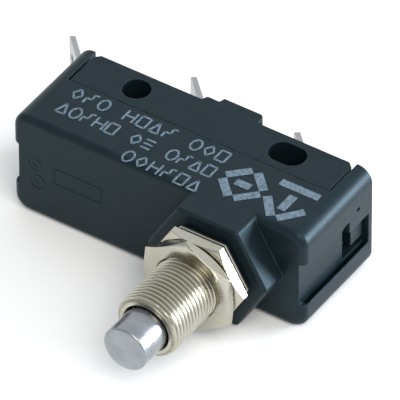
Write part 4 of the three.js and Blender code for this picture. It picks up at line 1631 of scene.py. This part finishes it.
@dataclass
class Stage:
    """Camera, lights, world and floor."""

    eye: tuple[float, float, float] = (0.549576, -0.823750, 0.875881)
    right: tuple[float, float, float] = (0.83399, 0.55177, -0.00309)
    up: tuple[float, float, float] = (-0.36213, 0.55155, 0.75143)
    lens: float = 841.48
    sensor: float = 36.0
    clip: tuple[float, float] = (0.05, 50.0)
    floor_size: float = 14.0
    floor_drop: float = 0.00005
    floor_level: float = 0.94
    world_tint: Colour = (0.93, 0.97, 1.0)
    front_level: float = 0.62
    rear_level: float = 1.0
    level_slope: float = 1.2
    lights: tuple[SoftBox, ...] = (
        SoftBox("overhead", (0.5, -0.38, 0.8), (0, 0, 0), (0.7, 0.7), 6.0, (1.0, 0.97, 0.9)),
        SoftBox("right_rear", (0.44, 0.36, 0.06), (0.0, -0.01, 0.01), (0.3, 0.34), 8.0,
                (0.8, 0.88, 1.0)))

    def camera(self) -> None:
        """Makes the camera."""
        data = bpy.data.cameras.new("camera")
        data.lens, data.sensor_width = self.lens, self.sensor
        data.clip_start, data.clip_end = self.clip
        right, up = Vector(self.right), Vector(self.up)
        turn = Matrix((right, up, right.cross(up))).transposed().to_4x4()
        made = linked("camera", data)
        made.matrix_world = Matrix.Translation(self.eye) @ turn
        bpy.context.scene.camera = made

    def world(self) -> None:
        """Makes the world, brighter towards the rear."""
        world = bpy.data.worlds.new("studio")
        world.use_nodes = True
        bpy.context.scene.world = world
        web = NodeWeb(world.node_tree)
        spot = web.split(web.node("ShaderNodeTexCoord")["Generated"])
        share = (spot["Y"] * self.level_slope + 0.5).held()
        level = self.front_level + share * (self.rear_level - self.front_level)
        sky = web.node("ShaderNodeBackground", {}, {
            "Color": _rgba(self.world_tint), "Strength": level})
        web.node("ShaderNodeOutputWorld", {}, {"Surface": sky[0]})
        bpy.context.scene.view_settings.view_transform = "Standard"

    def floor(self) -> None:
        """Makes the floor."""
        half, z = self.floor_size / 2, -self.floor_drop
        mesh = bpy.data.meshes.new("floor")
        mesh.from_pydata([(-half, -half, z), (half, -half, z), (half, half, z), (-half, half, z)],
                         [], [(0, 1, 2, 3)])
        mesh.materials.append(FloorPaint("floor_white", self.floor_level).build())
        linked("floor", mesh)

    def build(self) -> None:
        """Builds the stage."""
        self.camera()
        self.world()
        for light in self.lights:
            light.build()
        self.floor()


def main() -> None:
    """Builds the switch and its stage, in order."""
    logging.basicConfig(level=logging.INFO, format="%(name)s: %(message)s")
    at = Layout.read()
    axis = (at.axis_x, at.axis_z)
    Stage().build()

    plastic = MouldedPlastic(
        "slate_moulding", (0.004, 0.01, 0.013), (0.008, 0.014, 0.019), (0.02, 0.034, 0.045)).build()
    button = MouldedPlastic(
        "red_moulding", (0.2, 0.03, 0.022), (0.26, 0.045, 0.03), (0.3, 0.09, 0.07),
        grain=0.006).build()
    ink = PadInk("slate_blue_ink", (0.13, 0.19, 0.25), (0.05, 0.075, 0.095)).build()
    plate = (0.5, 0.48, 0.42), (0.45, 0.42, 0.32)
    nickel = TurnedMetal("nickel_plate", *plate, axis).build()
    copper = RolledMetal(
        "copper_alloy", (0.72, 0.45, 0.24), (0.5, 0.28, 0.14), 0.3, (0.12, 1.0, 1.0)).build()
    silver = RolledMetal("silver_contact", (0.86, 0.85, 0.82), (0.6, 0.58, 0.52), 0.22).build()
    steel = TurnedMetal(
        "ground_steel", (0.34, 0.355, 0.37), (0.25, 0.26, 0.29), axis, 0.24, marks=14.0).build()
    wire = RolledMetal(
        "spring_wire", (0.36, 0.37, 0.39), (0.24, 0.24, 0.25), 0.32, (1.0, 0.2, 1.0)).build()
    tin = RolledMetal("tinned_brass", (0.42, 0.415, 0.42), (0.34, 0.33, 0.33), 0.34).build()
    thread = TurnedMetal("nickel_thread", *plate, axis, root_radius=4.54, crest_radius=4.9).build()

    cover = CoverShell(at)
    cover.build(plastic)
    TerminalBlock(at, cover).build(plastic)
    PrintedSide(at, cover).build(ink)
    Bushing(at).build(thread)
    for place in ("rear", "front"):
        nut = LockNut(at, f"{place}_nut", f"{place}_nut_body", rear_chamfered=place == "front")
        nut.build(nickel)
    Plunger(at).build(steel)
    OvertravelSpring(at).build(wire)
    for name in ("nc", "no", "com"):
        PushOnTab(f"{name}_terminal").build(tin)
    InnerWorks({"retaining_ring": wire, "spring_seat": steel, "inner_button": button,
                "snap_blade": copper, "snap_spring": copper, "blade_support": copper,
                "blade_rivet": copper, "moving_contact": silver, "nc_contact": silver,
                "no_contact": silver}).build()


if __name__ == "__main__":
    main()
